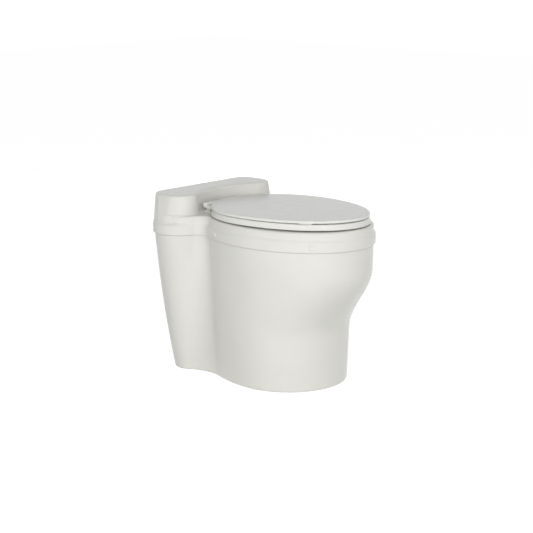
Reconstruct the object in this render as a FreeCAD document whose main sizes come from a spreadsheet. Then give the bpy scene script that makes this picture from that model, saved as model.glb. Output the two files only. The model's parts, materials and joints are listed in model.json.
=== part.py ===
# Dry toilet: a hollow pedestal, a stepped top cover with a raised rear housing, seat, lid and drop tube.
# Each piece is built about the seat centre, with its front towards -Y, and its Placement then moves it so
# that the origin is on the floor under the middle of the whole object. Sizes are millimetres and degrees.
import FreeCAD
import Part
import math
import os
import Sketcher
from FreeCAD import Placement, Rotation, Vector

driving_sizes = (
    # Plan of the lip, measured from the seat centre
    ("front_reach", 279),
    ("rear_reach", 318),
    ("bowl_half_width", 190.5),
    ("bowl_widest_ahead", 30),
    ("bowl_side_radius", 330),
    ("waist_radius", 30),
    ("housing_half_width", 212),
    ("housing_end_radius", 74),
    # Plan of the pedestal at the floor: room round the pipe, and how far its rear stands in from the lip
    ("floor_side_room", 33),
    ("floor_front_room", 34),
    ("floor_side_radius", 340),
    ("floor_waist_radius", 120),
    ("floor_end_inset", 65),
    ("floor_end_radius", 45),
    ("floor_rear_inset", 31),
    # Pedestal walls, and the S curve of its front measured down from the upright rim
    ("shell_wall", 5),
    ("shell_floor", 8),
    ("shell_gap", 1.5),
    ("foot_round", 6),
    ("rim_drop", 8),
    ("front_curve_drop", 58),
    ("front_curve_length", 180),
    ("side_bulge", 0.4),
    # Top cover
    ("cover_wall", 4),
    ("lip_bottom", 386),
    ("lip_height", 30),
    ("lip_step", 5),
    ("lip_round", 3),
    ("skirt_height", 22),
    ("deck_round", 8),
    ("skirt_inset", 8),
    ("housing_rise", 53),
    ("housing_wrap", 6),
    ("housing_hollow", 42),
    ("housing_corner_radius", 58),
    ("housing_end_draft", 20),
    ("housing_front_draft", 9),
    ("housing_rear_step", 3.5),
    ("housing_rear_draft", 0.5),
    ("housing_round", 8),
    # Screws that hold the cover on the pedestal's rim
    ("side_screw_behind", 84),
    ("front_screw_angle", 48),
    ("rear_screw_inset", 33),
    ("lip_screw_drop", 15),
    ("lip_screw_radius", 2),
    ("lip_screw_length", 18),
    ("lip_screw_head_radius", 4),
    ("lip_screw_head_height", 1.6),
    ("screw_clearance", 0.15),
    ("cap_radius", 7),
    ("cap_height", 2.6),
    ("cap_wall", 0.8),
    ("cap_edge_share", 0.45),
    ("cap_shoulder_share", 0.85),
    ("cap_shoulder_radius_share", 0.8),
    ("cap_flat_radius_share", 0.45),
    ("screw_head_edge_share", 0.6),
    ("screw_head_flat_share", 0.7),
    ("clip_width", 14),
    ("clip_height", 14),
    ("clip_thickness", 3),
    ("clip_gap", 0.3),
    # Seat ring
    ("seat_side_margin", 10.5),
    ("seat_front_margin", 8.5),
    ("seat_overhang", 8),
    ("seat_hinge_gap", 4.5),
    ("seat_rise", 4),
    ("seat_thickness", 15),
    ("seat_slant", 4),
    ("seat_round", 5),
    ("seat_ring_side", 72),
    ("seat_ring_front", 70.5),
    ("seat_mouth_to_hinge", 72),
    # Lid
    ("lid_inset", 3.5),
    ("lid_overhang", 10),
    ("lid_gap", 0.8),
    ("lid_thickness", 9),
    ("lid_crown_radius", 6500),
    ("lid_round", 3.5),
    ("lid_rim", 9),
    ("lid_recess", 2.5),
    ("lid_tilt", 0.3),
    ("lid_post_gap", 1),
    # Bumpers
    ("bumper_length", 32),
    ("bumper_width", 9),
    ("bumper_round", 1.2),
    ("bumper_gap", 0.3),
    ("lid_bumper_angle", 46),
    ("lid_bumper_inset", 6),
    ("front_bumper_angle", 20),
    ("rear_bumper_angle", 42),
    # Hinge
    ("hinge_spacing", 155),
    ("hinge_behind", 190),
    ("hinge_lift", 1),
    ("post_width", 14),
    ("post_depth", 14),
    ("post_foot_width", 24),
    ("post_foot_depth", 28),
    ("post_foot_height", 3.5),
    ("post_foot_round", 5),
    ("knuckle_radius", 7),
    ("lug_width", 11.5),
    ("lug_gap", 0.5),
    ("pin_radius", 3.5),
    ("pin_clearance", 0.05),
    ("pin_cap_radius", 6.5),
    ("pin_cap_length", 2.7),
    ("stud_radius", 4),
    ("stud_length", 36),
    ("stud_grip", 10),
    ("washer_radius", 11),
    ("washer_thickness", 2),
    ("nut_hub_radius", 8),
    ("nut_height", 10),
    ("nut_wing_reach", 19),
    ("nut_wing_thickness", 4),
    ("nut_wing_height", 15),
    ("nut_wing_drop", 9),
    # Liner in the deck's mouth
    ("mouth_margin", 10),
    ("liner_clearance", 1.5),
    ("liner_wall", 3),
    ("liner_flange_width", 12),
    ("liner_flange_height", 2),
    ("throat_drop", 108),
    ("spigot_length", 68),
    ("gasket_height", 1),
    ("gasket_width", 8),
    # Drop tube, its seal and the collar at the floor
    ("tube_ahead", 24),
    ("tube_step", 11),
    ("tube_wall", 4),
    ("tube_top_drop", 30),
    ("tube_gap", 0.3),
    ("seal_radius", 1.4),
    ("seal_drop", 15),
    ("seal_room", 3),
    ("pipe_radius", 127),
    ("pipe_gap", 0.3),
    ("pipe_socket_depth", 55),
    ("collar_wall", 4),
    ("collar_web", 4),
    ("collar_cup_height", 30),
    ("collar_flange_width", 17),
    ("collar_flange_height", 4),
    ("collar_hole_gap", 1),
    ("collar_screw_count", 6),
    ("collar_screw_radius", 2),
    ("collar_screw_length", 9.5),
    ("collar_screw_head_radius", 4.2),
    ("collar_screw_head_height", 2.6),
    # Holes for the screws into the building's floor
    ("floor_hole_radius", 4.5),
    ("floor_hole_side", 95),
    ("floor_hole_inset", 47),
    ("floor_hole_spacing", 80),
)

doc = FreeCAD.newDocument("dry_toilet")
sheet = doc.addObject("Spreadsheet::Sheet", "sizes")
for row, (alias, amount) in enumerate(driving_sizes, start=1):
    sheet.set("A%d" % row, alias)
    sheet.set("B%d" % row, str(amount))
    sheet.setAlias("B%d" % row, alias)
doc.recompute()

UP = Vector(0, 0, 1)
ACROSS = Vector(1, 0, 0)
SECTION_COUNT = 12
OVERSHOOT = 10.0
BOX_SLACK = 1.0
LEVEL = 1e-3

# Expressions that several pieces share
DEPTH_SHIFT = "(sizes.front_reach - sizes.rear_reach - sizes.cap_height) / 2"
LEDGE = "(sizes.lip_bottom + sizes.lip_height)"
DECK = "(sizes.lip_bottom + sizes.lip_height + sizes.skirt_height)"
SEAT_BOTTOM = "(%s + sizes.seat_rise)" % DECK
LID_BOTTOM = "(%s + sizes.seat_thickness + sizes.lid_gap)" % SEAT_BOTTOM
HINGE_RISE = "(sizes.seat_rise + sizes.seat_thickness + sizes.hinge_lift)"
AXIS_HEIGHT = "(%s + %s)" % (DECK, HINGE_RISE)
TUBE_RADIUS = "(sizes.pipe_radius - sizes.tube_step)"
TUBE_BOTTOM = "(sizes.pipe_socket_depth + sizes.collar_web)"
THROAT = "(%s - sizes.throat_drop)" % DECK
TUBE_TOP = "(%s - sizes.tube_top_drop)" % THROAT
LUG_START = "(sizes.hinge_spacing / 2 - sizes.post_width / 2 - sizes.lug_gap - sizes.lug_width)"
LID_FRONT = "(sizes.front_reach - sizes.seat_front_margin - sizes.lid_inset)"
LID_BUMPER_BEHIND = ("sizes.hinge_behind + (%s - sizes.lid_bumper_inset)"
                     " * sin(sizes.lid_bumper_angle)" % LID_FRONT)
LID_BUMPER_HEIGHT = "sizes.lid_gap - sizes.bumper_gap + (%s) * tan(sizes.lid_tilt)" % LID_BUMPER_BEHIND
PIN_LENGTH = "(sizes.post_width + 2 * sizes.lug_width + 4 * sizes.lug_gap)"

nodes = {}


def size(alias):
    return float(getattr(sheet, alias))


def worked_out(expression):
    return float(sheet.evalExpression(expression))


def keep(piece, label):
    # Names a finished sub-part and lists it for the export
    piece.Label = label
    nodes[label] = piece
    return piece


def place(piece, across="0", along="0", height="0"):
    # Moves a piece from its own origin to its place, given from the seat centre, in the whole object's frame
    piece.setExpression("Placement.Base.x", across)
    piece.setExpression("Placement.Base.y", "%s + %s" % (DEPTH_SHIFT, along))
    piece.setExpression("Placement.Base.z", height)


def shaped(name, shape):
    # A free-form piece: its shape first, then its place
    piece = doc.addObject("Part::Feature", name)
    piece.Shape = shape
    place(piece)
    return piece


def copies(name, master, places):
    # Separate equal solids in one piece
    return shaped(name, Part.makeCompound([master.transformed(spot.toMatrix()) for spot in places]))


# Outlines

def lip_outline():
    return {
        "half_width": size("bowl_half_width"),
        "front": size("front_reach"),
        "widest": -size("bowl_widest_ahead"),
        "side_radius": size("bowl_side_radius"),
        "waist_radius": size("waist_radius"),
        "end_radius": size("housing_end_radius"),
        "end_half": size("housing_half_width"),
        "rear": size("rear_reach"),
    }


def floor_outline():
    return {
        "half_width": size("pipe_radius") + size("floor_side_room"),
        "front": size("tube_ahead") + size("pipe_radius") + size("floor_front_room"),
        "widest": -size("tube_ahead"),
        "side_radius": size("floor_side_radius"),
        "waist_radius": size("floor_waist_radius"),
        "end_radius": size("floor_end_radius"),
        "end_half": size("housing_half_width") - size("floor_end_inset"),
        "rear": size("rear_reach") - size("floor_rear_inset"),
    }


def seat_oval():
    # Half width, front and rear of the seat's outer edge
    return (size("bowl_half_width") - size("seat_side_margin"),
            size("front_reach") - size("seat_front_margin"),
            size("hinge_behind") + size("seat_overhang"))


def seat_mouth():
    half_width, front, _ = seat_oval()
    return (half_width - size("seat_ring_side"), front - size("seat_ring_front"),
            size("hinge_behind") - size("seat_mouth_to_hinge"))


def lid_oval():
    half_width, _, _ = seat_oval()
    return half_width - size("lid_inset"), worked_out(LID_FRONT), size("hinge_behind") + size("lid_overhang")


def deck_mouth(distance):
    # The oval opening in the deck at an even distance outside its edge
    return [edge + size("mouth_margin") + distance for edge in seat_mouth()]


def grown(outline, distance):
    # The outline at an even distance outside the given one
    result = dict(outline)
    for part in ("half_width", "front", "side_radius", "end_radius", "end_half", "rear"):
        result[part] += distance
    result["waist_radius"] -= distance
    return result


def outline_centres(outline):
    # Centres of the side arc, of the hollow waist arc that touches both neighbours, and of the end arc
    side = Vector(outline["half_width"] - outline["side_radius"], outline["widest"], 0)
    end = Vector(outline["end_half"] - outline["end_radius"], outline["rear"] - outline["end_radius"], 0)
    to_side = outline["side_radius"] + outline["waist_radius"]
    to_end = outline["end_radius"] + outline["waist_radius"]
    between = end - side
    span = between.Length
    along = (to_side ** 2 - to_end ** 2 + span ** 2) / (2 * span)
    aside = math.sqrt(to_side ** 2 - along ** 2)
    ahead = Vector(between).normalize()
    waist = side + ahead * along + Vector(ahead.y, -ahead.x, 0) * aside
    return side, waist, end


def arc_between(centre, start, finish):
    # The shorter arc about a centre from one point to another
    radius = (start - centre).Length
    middle = (start - centre) + (finish - centre)
    return Part.Arc(start, centre + middle.normalize() * radius, finish).toShape()


def turned_arc(centre, radius, first, last):
    # The arc about a centre from one angle to another, in degrees
    spots = []
    for angle in (first, (first + last) / 2, last):
        turn = math.radians(angle)
        spots.append(centre + Vector(math.cos(turn), math.sin(turn), 0) * radius)
    return Part.Arc(*spots).toShape()


def half_ellipse(centre, half_width, reach, forwards):
    # Half an ellipse from side to side, bulging to the front or to the rear
    nose = Vector(0, -reach if forwards else reach, 0)
    side = Vector(half_width if forwards else -half_width, 0, 0)
    if reach >= half_width:
        curve = Part.Ellipse(centre + nose, centre + side, centre)
        return Part.ArcOfEllipse(curve, -math.pi / 2, math.pi / 2).toShape()
    curve = Part.Ellipse(centre + side, centre - nose, centre)
    return Part.ArcOfEllipse(curve, math.pi, 2 * math.pi).toShape()


def mirrored(edge):
    return edge.mirror(Vector(0, 0, 0), ACROSS)


def outline_wire(outline, height):
    side, waist, end = outline_centres(outline)
    widest = Vector(outline["half_width"], outline["widest"], 0)
    into_waist = side + Vector(waist - side).normalize() * outline["side_radius"]
    from_waist = end + Vector(waist - end).normalize() * outline["end_radius"]
    rear_corner = Vector(end.x, outline["rear"], 0)
    first = math.degrees(math.atan2(from_waist.y - end.y, from_waist.x - end.x))
    right_side = [
        arc_between(side, widest, into_waist),
        arc_between(waist, into_waist, from_waist),
        turned_arc(end, outline["end_radius"], first, 90),
    ]
    middle = Vector(0, outline["widest"], 0)
    front = half_ellipse(middle, outline["half_width"], outline["front"] + outline["widest"], True)
    rear = Part.LineSegment(rear_corner, Vector(-rear_corner.x, rear_corner.y, 0)).toShape()
    edges = [front] + right_side + [rear] + [mirrored(edge) for edge in reversed(right_side)]
    wire = Part.Wire(Part.__sortEdges__(edges))
    wire.translate(UP * height)
    return wire


def oval_wire(half_width, front, rear, height):
    middle = Vector(0, 0, 0)
    halves = [half_ellipse(middle, half_width, front, True), half_ellipse(middle, half_width, rear, False)]
    wire = Part.Wire(halves)
    wire.translate(UP * height)
    return wire


def ring_wire(radius, ahead, height):
    # A circle in two halves, so that it can be lofted to an oval
    centre = Vector(0, -ahead, 0)
    wire = Part.Wire([turned_arc(centre, radius, 180, 360), turned_arc(centre, radius, 0, 180)])
    wire.translate(UP * height)
    return wire


def housing_wire(half_width, front, middle, rear, corner, height):
    # Round corners, straight ends and rear, and a hollow front arc that runs smoothly into its corners
    corner = min(corner, (rear - front) / 2 - BOX_SLACK)
    front_end = Vector(half_width - corner, front + corner, 0)
    rear_end = Vector(half_width - corner, rear - corner, 0)
    back_of_middle = front_end.y - middle
    hollow_radius = (front_end.x ** 2 + back_of_middle ** 2 - corner ** 2) / (2 * (corner - back_of_middle))
    hollow = Vector(0, middle - hollow_radius, 0)
    touch = hollow + Vector(front_end - hollow).normalize() * hollow_radius
    first = math.degrees(math.atan2(touch.y - front_end.y, touch.x - front_end.x))
    side_line = Part.LineSegment(Vector(half_width, front_end.y, 0),
                                 Vector(half_width, rear_end.y, 0)).toShape()
    right_end = [turned_arc(front_end, corner, first, 0), side_line, turned_arc(rear_end, corner, 0, 90)]
    rear_line = Part.LineSegment(Vector(rear_end.x, rear, 0), Vector(-rear_end.x, rear, 0)).toShape()
    front_arc = Part.Arc(Vector(-touch.x, touch.y, 0), Vector(0, middle, 0), touch).toShape()
    edges = [front_arc] + right_end + [rear_line] + [mirrored(edge) for edge in reversed(right_end)]
    wire = Part.Wire(Part.__sortEdges__(edges))
    wire.translate(UP * height)
    return wire


def raised(wire, height):
    return Part.Face(wire).extrude(UP * height)


def lofted(wires, ruled=False):
    return Part.makeLoft(wires, True, ruled)


def edges_at(shape, height):
    # The edges that lie flat at one height
    found = []
    for edge in shape.Edges:
        box = edge.BoundBox
        if abs(box.ZMin - height) < LEVEL and abs(box.ZMax - height) < LEVEL:
            found.append(edge)
    return found


def rod(radius, start, finish):
    return Part.makeCylinder(radius, (finish - start).Length, start, finish - start)


# Places on the lip where the cover is screwed down

def lip_screw_places():
    # Each place has its Z axis along the outward direction of the lip
    outline = lip_outline()
    side, _, _ = outline_centres(outline)
    radius = outline["side_radius"]
    lean = math.asin((size("side_screw_behind") - outline["widest"]) / radius)
    side_out = Vector(math.cos(lean), math.sin(lean), 0)
    spots = [(side + side_out * radius, side_out)]
    turn = math.radians(size("front_screw_angle"))
    reach = outline["front"] + outline["widest"]
    front = Vector(outline["half_width"] * math.cos(turn), outline["widest"] - reach * math.sin(turn), 0)
    front_out = Vector(math.cos(turn) / outline["half_width"], -math.sin(turn) / reach, 0).normalize()
    spots.append((front, front_out))
    rear_side = outline["end_half"] - outline["end_radius"] - size("rear_screw_inset")
    spots.append((Vector(rear_side, outline["rear"], 0), Vector(0, 1, 0)))
    height = UP * (worked_out(LEDGE) - size("lip_screw_drop"))
    places = []
    for spot, out in spots:
        for flip in (1, -1):
            direction = Vector(out.x * flip, out.y, 0)
            turned = Rotation(Vector(direction.y, -direction.x, 0), UP, direction, "ZYX")
            places.append(Placement(Vector(spot.x * flip, spot.y, 0) + height, turned))
    return places


# Sketched pieces

def new_body(name):
    return doc.addObject("PartDesign::Body", name)


def origin_feature(body, role):
    return [item for item in body.Origin.OriginFeatures if item.Role == role][0]


def new_sketch(body, role, name):
    sketch = body.newObject("Sketcher::SketchObject", name)
    sketch.AttachmentSupport = [(origin_feature(body, role), "")]
    sketch.MapMode = "FlatFace"
    return sketch


def fix_point(sketch, edge, end, expressions):
    # Ties both coordinates of a sketch point to expressions of the sheet, or puts it on an axis for "0"
    for kind, axis, expression in zip(("DistanceX", "DistanceY"), (-2, -1), expressions):
        if expression == "0":
            sketch.addConstraint(Sketcher.Constraint("PointOnObject", edge, end, axis))
            continue
        amount = worked_out(expression)
        index = sketch.addConstraint(Sketcher.Constraint(kind, -1, 1, edge, end, amount))
        sketch.setExpression("Constraints[%d]" % index, expression)


def polygon_sketch(body, role, name, corners):
    # A closed outline of straight lines, each corner tied to the sheet
    sketch = new_sketch(body, role, name)
    spots = [Vector(worked_out(x), worked_out(y), 0) for x, y in corners]
    count = len(corners)
    for index in range(count):
        sketch.addGeometry(Part.LineSegment(spots[index], spots[(index + 1) % count]))
    for index in range(count):
        sketch.addConstraint(Sketcher.Constraint("Coincident", index, 2, (index + 1) % count, 1))
    for index in range(count):
        fix_point(sketch, index, 1, corners[index])
    return sketch


def circle_sketch(body, role, name, centre, radius):
    sketch = new_sketch(body, role, name)
    spot = Vector(worked_out(centre[0]), worked_out(centre[1]), 0)
    sketch.addGeometry(Part.Circle(spot, UP, worked_out(radius)))
    fix_point(sketch, 0, 3, centre)
    index = sketch.addConstraint(Sketcher.Constraint("Radius", 0, worked_out(radius)))
    sketch.setExpression("Constraints[%d]" % index, radius)
    return sketch


def revolve(body, sketch, name):
    turned = body.newObject("PartDesign::Revolution", name)
    turned.Profile = sketch
    turned.ReferenceAxis = (sketch, ["V_Axis"])
    turned.Angle = 360
    return turned


def pad(body, sketch, name, length, midplane=False):
    feature = body.newObject("PartDesign::Pad", name)
    feature.Profile = sketch
    feature.Midplane = midplane
    feature.setExpression("Length", length)
    return feature


def pocket(body, sketch, name, length, midplane=False, reversed_way=False):
    feature = body.newObject("PartDesign::Pocket", name)
    feature.Profile = sketch
    feature.Midplane = midplane
    feature.Reversed = reversed_way
    feature.setExpression("Length", length)
    return feature


def headed_screw(name, shank_radius, shank_length, head_radius, head_height):
    # A pan head above the origin and a plain shank below it
    body = new_body(name)
    corners = [
        ("0", "-" + shank_length),
        (shank_radius, "-" + shank_length),
        (shank_radius, "0"),
        (head_radius, "0"),
        (head_radius, head_height + " * sizes.screw_head_edge_share"),
        (head_radius + " * sizes.screw_head_flat_share", head_height),
        ("0", head_height),
    ]
    revolve(body, polygon_sketch(body, "XZ_Plane", name + "_profile", corners), name + "_turned")
    doc.recompute()
    return body


# Pedestal

def rim_start():
    return size("lip_bottom") - size("rim_drop")


def shell_outline(height, inset):
    # Plan of the pedestal at one height: between the floor's and the rim's, with the front on an S curve
    low = floor_outline()
    rim = grown(lip_outline(), -size("cover_wall") - size("shell_gap"))
    share = min(height / rim_start(), 1.0)
    share += size("side_bulge") * share * (1 - share)
    outline = {part: low[part] + (rim[part] - low[part]) * share for part in low}
    curve_top = rim_start() - size("front_curve_drop")
    climb = 1 - (curve_top - height) / size("front_curve_length")
    climb = max(0.0, min(climb, 1.0))
    outline["front"] = low["front"] + (rim["front"] - low["front"]) * climb ** 2 * (3 - 2 * climb)
    return grown(outline, -inset)


def shell_form(inset, bottom, top):
    # A loft up to the upright rim, then straight up
    rim = rim_start()
    step = (rim - bottom) / SECTION_COUNT
    heights = [bottom + step * index for index in range(SECTION_COUNT + 1)]
    sides = lofted([outline_wire(shell_outline(height, inset), height) for height in heights])
    return sides.fuse(raised(outline_wire(shell_outline(rim, inset), rim), top - rim))


def pedestal_shell():
    rim_top = worked_out(LEDGE) - size("cover_wall")
    hollow = shell_form(size("shell_wall"), size("shell_floor"), rim_top + OVERSHOOT)
    solid = shell_form(0, 0, rim_top)
    solid = solid.makeFillet(size("foot_round"), edges_at(solid, 0))
    shell = solid.cut(hollow)
    below = UP * -OVERSHOOT
    above = UP * (size("shell_floor") + OVERSHOOT)
    tube_axis = Vector(0, -size("tube_ahead"), 0)
    opening = size("pipe_radius") + size("pipe_gap") + size("collar_wall") + size("collar_hole_gap")
    cuts = [rod(opening, tube_axis + below, tube_axis + above)]
    rear_row = floor_outline()["rear"] - size("floor_hole_inset")
    for side in (1, -1):
        for row in (rear_row, rear_row - size("floor_hole_spacing")):
            spot = Vector(side * size("floor_hole_side"), row, 0)
            cuts.append(rod(size("floor_hole_radius"), spot + below, spot + above))
    for spot in collar_screw_places():
        bore = rod(size("collar_screw_radius") + size("screw_clearance"), below, UP * OVERSHOOT)
        bore.Placement = spot
        cuts.append(bore)
    cuts += lip_screw_bores()
    return shell.cut(cuts)


def lip_screw_bores():
    bores = []
    reach = size("lip_screw_length") + OVERSHOOT
    for spot in lip_screw_places():
        bore = rod(size("lip_screw_radius") + size("screw_clearance"), UP * -reach, UP * OVERSHOOT)
        bore.Placement = spot
        bores.append(bore)
    return bores


def collar_screw_places():
    # Round the tube's axis, on the flange of the collar, the first half a step from straight aside
    inner = size("pipe_radius") + size("pipe_gap") + size("collar_wall")
    circle = inner + size("collar_flange_width") / 2
    height = size("shell_floor") + size("collar_flange_height")
    count = int(size("collar_screw_count"))
    places = []
    for index in range(count):
        turn = 2 * math.pi * (index + 0.5) / count
        spot = Vector(circle * math.cos(turn), circle * math.sin(turn) - size("tube_ahead"), height)
        places.append(Placement(spot, Rotation()))
    return places


# Top cover

def housing_form(inset, bottom, top):
    # The raised rear housing: walls lean in from the ledge to its top
    ledge = worked_out(LEDGE)
    wires = []
    for height in (bottom, top):
        climb = (height - ledge) / (size("skirt_height") + size("housing_rise"))
        end_lean = size("lip_step") + size("housing_end_draft") * climb
        half_width = size("housing_half_width") - end_lean - inset
        front = size("hinge_behind") - size("housing_wrap") + size("housing_front_draft") * climb + inset
        rear = size("rear_reach") - size("housing_rear_step") - size("housing_rear_draft") * climb - inset
        drawn_in = (size("housing_end_draft") + size("housing_front_draft")) * climb / 2 + inset
        corner = size("housing_corner_radius") - drawn_in
        wires.append(housing_wire(half_width, front, front + size("housing_hollow"), rear, corner, height))
    return lofted(wires, ruled=True)


def skirt_outline(inset):
    # The deck's plan, drawn in a little at its rear so that the housing's walls stand proud of it there
    outline = grown(lip_outline(), -size("lip_step") - inset)
    outline["end_half"] -= size("skirt_inset")
    outline["rear"] -= size("skirt_inset")
    return outline


def top_cover():
    wall = size("cover_wall")
    lip_bottom = size("lip_bottom")
    ledge = worked_out(LEDGE)
    deck = worked_out(DECK)
    top = deck + size("housing_rise")
    lip = raised(outline_wire(lip_outline(), lip_bottom), size("lip_height"))
    lip = lip.makeFillet(size("lip_round"), edges_at(lip, lip_bottom) + edges_at(lip, ledge))
    skirt = raised(outline_wire(skirt_outline(0), ledge - wall), deck - ledge + wall)
    skirt = skirt.makeFillet(size("deck_round"), edges_at(skirt, deck))
    housing = housing_form(0, ledge - wall, top)
    housing = housing.makeFillet(size("housing_round"), edges_at(housing, top))
    hollow_lip = raised(outline_wire(grown(lip_outline(), -wall), lip_bottom - OVERSHOOT),
                        size("lip_height") - wall + OVERSHOOT)
    hollow_skirt = raised(outline_wire(skirt_outline(wall), lip_bottom - OVERSHOOT),
                          deck - wall - lip_bottom + OVERSHOOT)
    hollow_housing = housing_form(wall, ledge - 2 * wall, top - wall)
    mouth = oval_wire(*deck_mouth(0), deck - OVERSHOOT)
    cuts = [hollow_lip, hollow_skirt, hollow_housing, raised(mouth, 2 * OVERSHOOT)] + lip_screw_bores()
    for side in (1, -1):
        spot = Vector(side * size("hinge_spacing") / 2, size("hinge_behind"), deck)
        cuts.append(rod(size("stud_radius") + size("screw_clearance"), spot - UP * OVERSHOOT,
                        spot + UP * OVERSHOOT))
    return lip.fuse([skirt, housing]).removeSplitter().cut(cuts)


# Seat and lid

def hinge_axis(across):
    return Vector(across, size("hinge_behind"), worked_out(AXIS_HEIGHT))


def hinge_lug(start, arm):
    # A knuckle about the hinge axis with an arm of the given side profile, as (along, height) points
    width = size("lug_width")
    spots = [Vector(start, along, height) for along, height in arm]
    plate = Part.Face(Part.makePolygon(spots + spots[:1])).extrude(ACROSS * width)
    knuckle = rod(size("knuckle_radius"), hinge_axis(start), hinge_axis(start + width))
    return plate.fuse(knuckle)


def with_lugs(form, start, arm):
    # Adds one lug on each side, bored for the pin
    width = size("lug_width")
    bore = size("pin_radius") + size("pin_clearance")
    lugs = [hinge_lug(start, arm), hinge_lug(-start - width, arm)]
    bores = [rod(bore, hinge_axis(across - OVERSHOOT), hinge_axis(across + width + OVERSHOOT))
             for across in (start, -start - width)]
    return form.fuse(lugs).removeSplitter().cut(bores)


def seat_ring():
    bottom = worked_out(SEAT_BOTTOM)
    top = bottom + size("seat_thickness")
    slant = size("seat_slant")
    round_radius = size("seat_round")
    outer = seat_oval()
    mouth = seat_mouth()
    body = lofted([oval_wire(*outer, bottom), oval_wire(*[edge - slant for edge in outer], top)], ruled=True)
    body = body.makeFillet(round_radius, edges_at(body, top))
    ring = body.cut(raised(oval_wire(*mouth, bottom - OVERSHOOT), size("seat_thickness") + 2 * OVERSHOOT))
    inner_edges = [edge for edge in edges_at(ring, top) if edge.BoundBox.YMin > -mouth[1] - BOX_SLACK]
    ring = ring.makeFillet(round_radius, inner_edges)
    straight = size("hinge_behind") - size("knuckle_radius") - size("seat_hinge_gap")
    behind = Part.makeBox(2 * outer[0], outer[2], size("seat_thickness") + 2 * OVERSHOOT,
                          Vector(-outer[0], straight, bottom - OVERSHOOT))
    ring = ring.cut(behind)
    start = size("hinge_spacing") / 2 + size("post_width") / 2 + size("lug_gap")
    rooted = mouth[2] + round_radius
    axis = hinge_axis(0)
    reach = size("knuckle_radius")
    arm = [(rooted, bottom + reach / 2), (axis.y, axis.z - reach),
           (axis.y, top), (rooted, top - round_radius)]
    return with_lugs(ring, start, arm)


def lid():
    bottom = worked_out(LID_BOTTOM)
    crown = bottom + size("lid_thickness")
    rim = size("lid_rim")
    edge = lid_oval()
    half_width, front, rear = edge
    radius = size("lid_crown_radius")
    middle = (rear - front) / 2
    block = raised(oval_wire(*edge, bottom), size("lid_thickness") + OVERSHOOT)
    plate = block.common(Part.makeSphere(radius, Vector(0, middle, crown - radius)))
    upper = [line for line in plate.Edges if line.BoundBox.ZMin > bottom + size("lid_round")]
    plate = plate.makeFillet(size("lid_round"), upper)
    recess = raised(oval_wire(*[reach - rim for reach in edge], bottom - OVERSHOOT),
                    OVERSHOOT + size("lid_recess"))
    start = worked_out(LUG_START)
    axis = hinge_axis(0)
    clear = axis.y - size("knuckle_radius") - size("lid_post_gap")
    post_room = size("post_width") + 2 * size("lug_gap")
    post_space = Part.makeBox(post_room, rear, size("lid_thickness") + OVERSHOOT)
    beside_lug = start + size("lug_width")
    notches = [post_space.translated(Vector(across, clear, bottom))
               for across in (beside_lug, -beside_lug - post_room)]
    plate = plate.cut([recess] + notches)
    reach = size("knuckle_radius")
    rooted = rear * math.sqrt(1 - ((start + size("lug_width")) / half_width) ** 2) - rim
    arm = [(rooted, bottom + size("lid_recess")), (axis.y - reach, axis.z), (axis.y, axis.z - reach),
           (axis.y + reach, axis.z), (axis.y, axis.z + reach), (rooted, bottom + 2 * size("lid_recess"))]
    return with_lugs(plate, start, arm)


def tilted(shape):
    # The lid's bumpers hold its front up, so lid and bumpers turn a little about the hinge
    turn = Placement(Vector(0, 0, 0), Rotation(-ACROSS, size("lid_tilt")), hinge_axis(0))
    return shape.transformed(turn.toMatrix(), True)


# Bumpers

def oval_place(edge, angle, height, side):
    # A place on an oval, its X axis along the oval and its angle measured from straight aside
    half_width, reach = edge
    turn = math.radians(angle)
    spot = Vector(side * half_width * math.cos(turn), reach * math.sin(turn), height)
    along = math.degrees(math.atan2(reach * math.cos(turn), -side * half_width * math.sin(turn)))
    return Placement(spot, Rotation(UP, along))


def bumper(name, height):
    # A flat pad with rounded corners, its middle at the origin, below Z zero
    body = new_body(name)
    half_length = "sizes.bumper_length / 2"
    half_width = "sizes.bumper_width / 2"
    corners = [("-" + half_length, "-" + half_width), (half_length, "-" + half_width),
               (half_length, half_width), ("-" + half_length, half_width)]
    feature = pad(body, polygon_sketch(body, "XY_Plane", name + "_plan", corners), name + "_pad", height)
    feature.Reversed = True
    doc.recompute()
    rounding = body.newObject("PartDesign::Fillet", name + "_round")
    upright = [index for index, edge in enumerate(feature.Shape.Edges, start=1)
               if edge.BoundBox.ZLength > edge.BoundBox.XLength + edge.BoundBox.YLength]
    rounding.Base = (feature, ["Edge%d" % index for index in upright])
    rounding.setExpression("Radius", "sizes.bumper_round")
    doc.recompute()
    return body


def lid_bumpers():
    half_width, front, _ = [reach - size("lid_bumper_inset") for reach in lid_oval()]
    bottom = worked_out(LID_BOTTOM)
    master = bumper("lid_bumper", LID_BUMPER_HEIGHT)
    places = [oval_place((half_width, front), -size("lid_bumper_angle"), bottom, side) for side in (1, -1)]
    return [master.Shape.transformed(spot.toMatrix()) for spot in places]


def seat_bumper_places():
    # Half way between the liner's flange and the seat's edge
    flange = deck_mouth(size("liner_flange_width") - size("liner_clearance"))
    half_width, front, rear = [(outer + inner) / 2 for outer, inner in zip(seat_oval(), flange)]
    bottom = worked_out(SEAT_BOTTOM)
    places = []
    for side in (1, -1):
        places.append(oval_place((half_width, front), -size("front_bumper_angle"), bottom, side))
        places.append(oval_place((half_width, rear), size("rear_bumper_angle"), bottom, side))
    return places


# Liner and gasket in the deck's mouth

def liner_form(inset, top):
    # An oval mouth that narrows to a round throat, with a straight spigot below it
    throat = worked_out(THROAT)
    bottom = throat - size("spigot_length")
    radius = worked_out(TUBE_RADIUS) - size("seal_room") - inset
    ahead = size("tube_ahead")
    mouth = oval_wire(*deck_mouth(-size("liner_clearance") - inset), top)
    funnel = lofted([mouth, ring_wire(radius, ahead, throat)], ruled=True)
    return funnel.fuse(raised(ring_wire(radius, ahead, bottom), throat - bottom))


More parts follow.
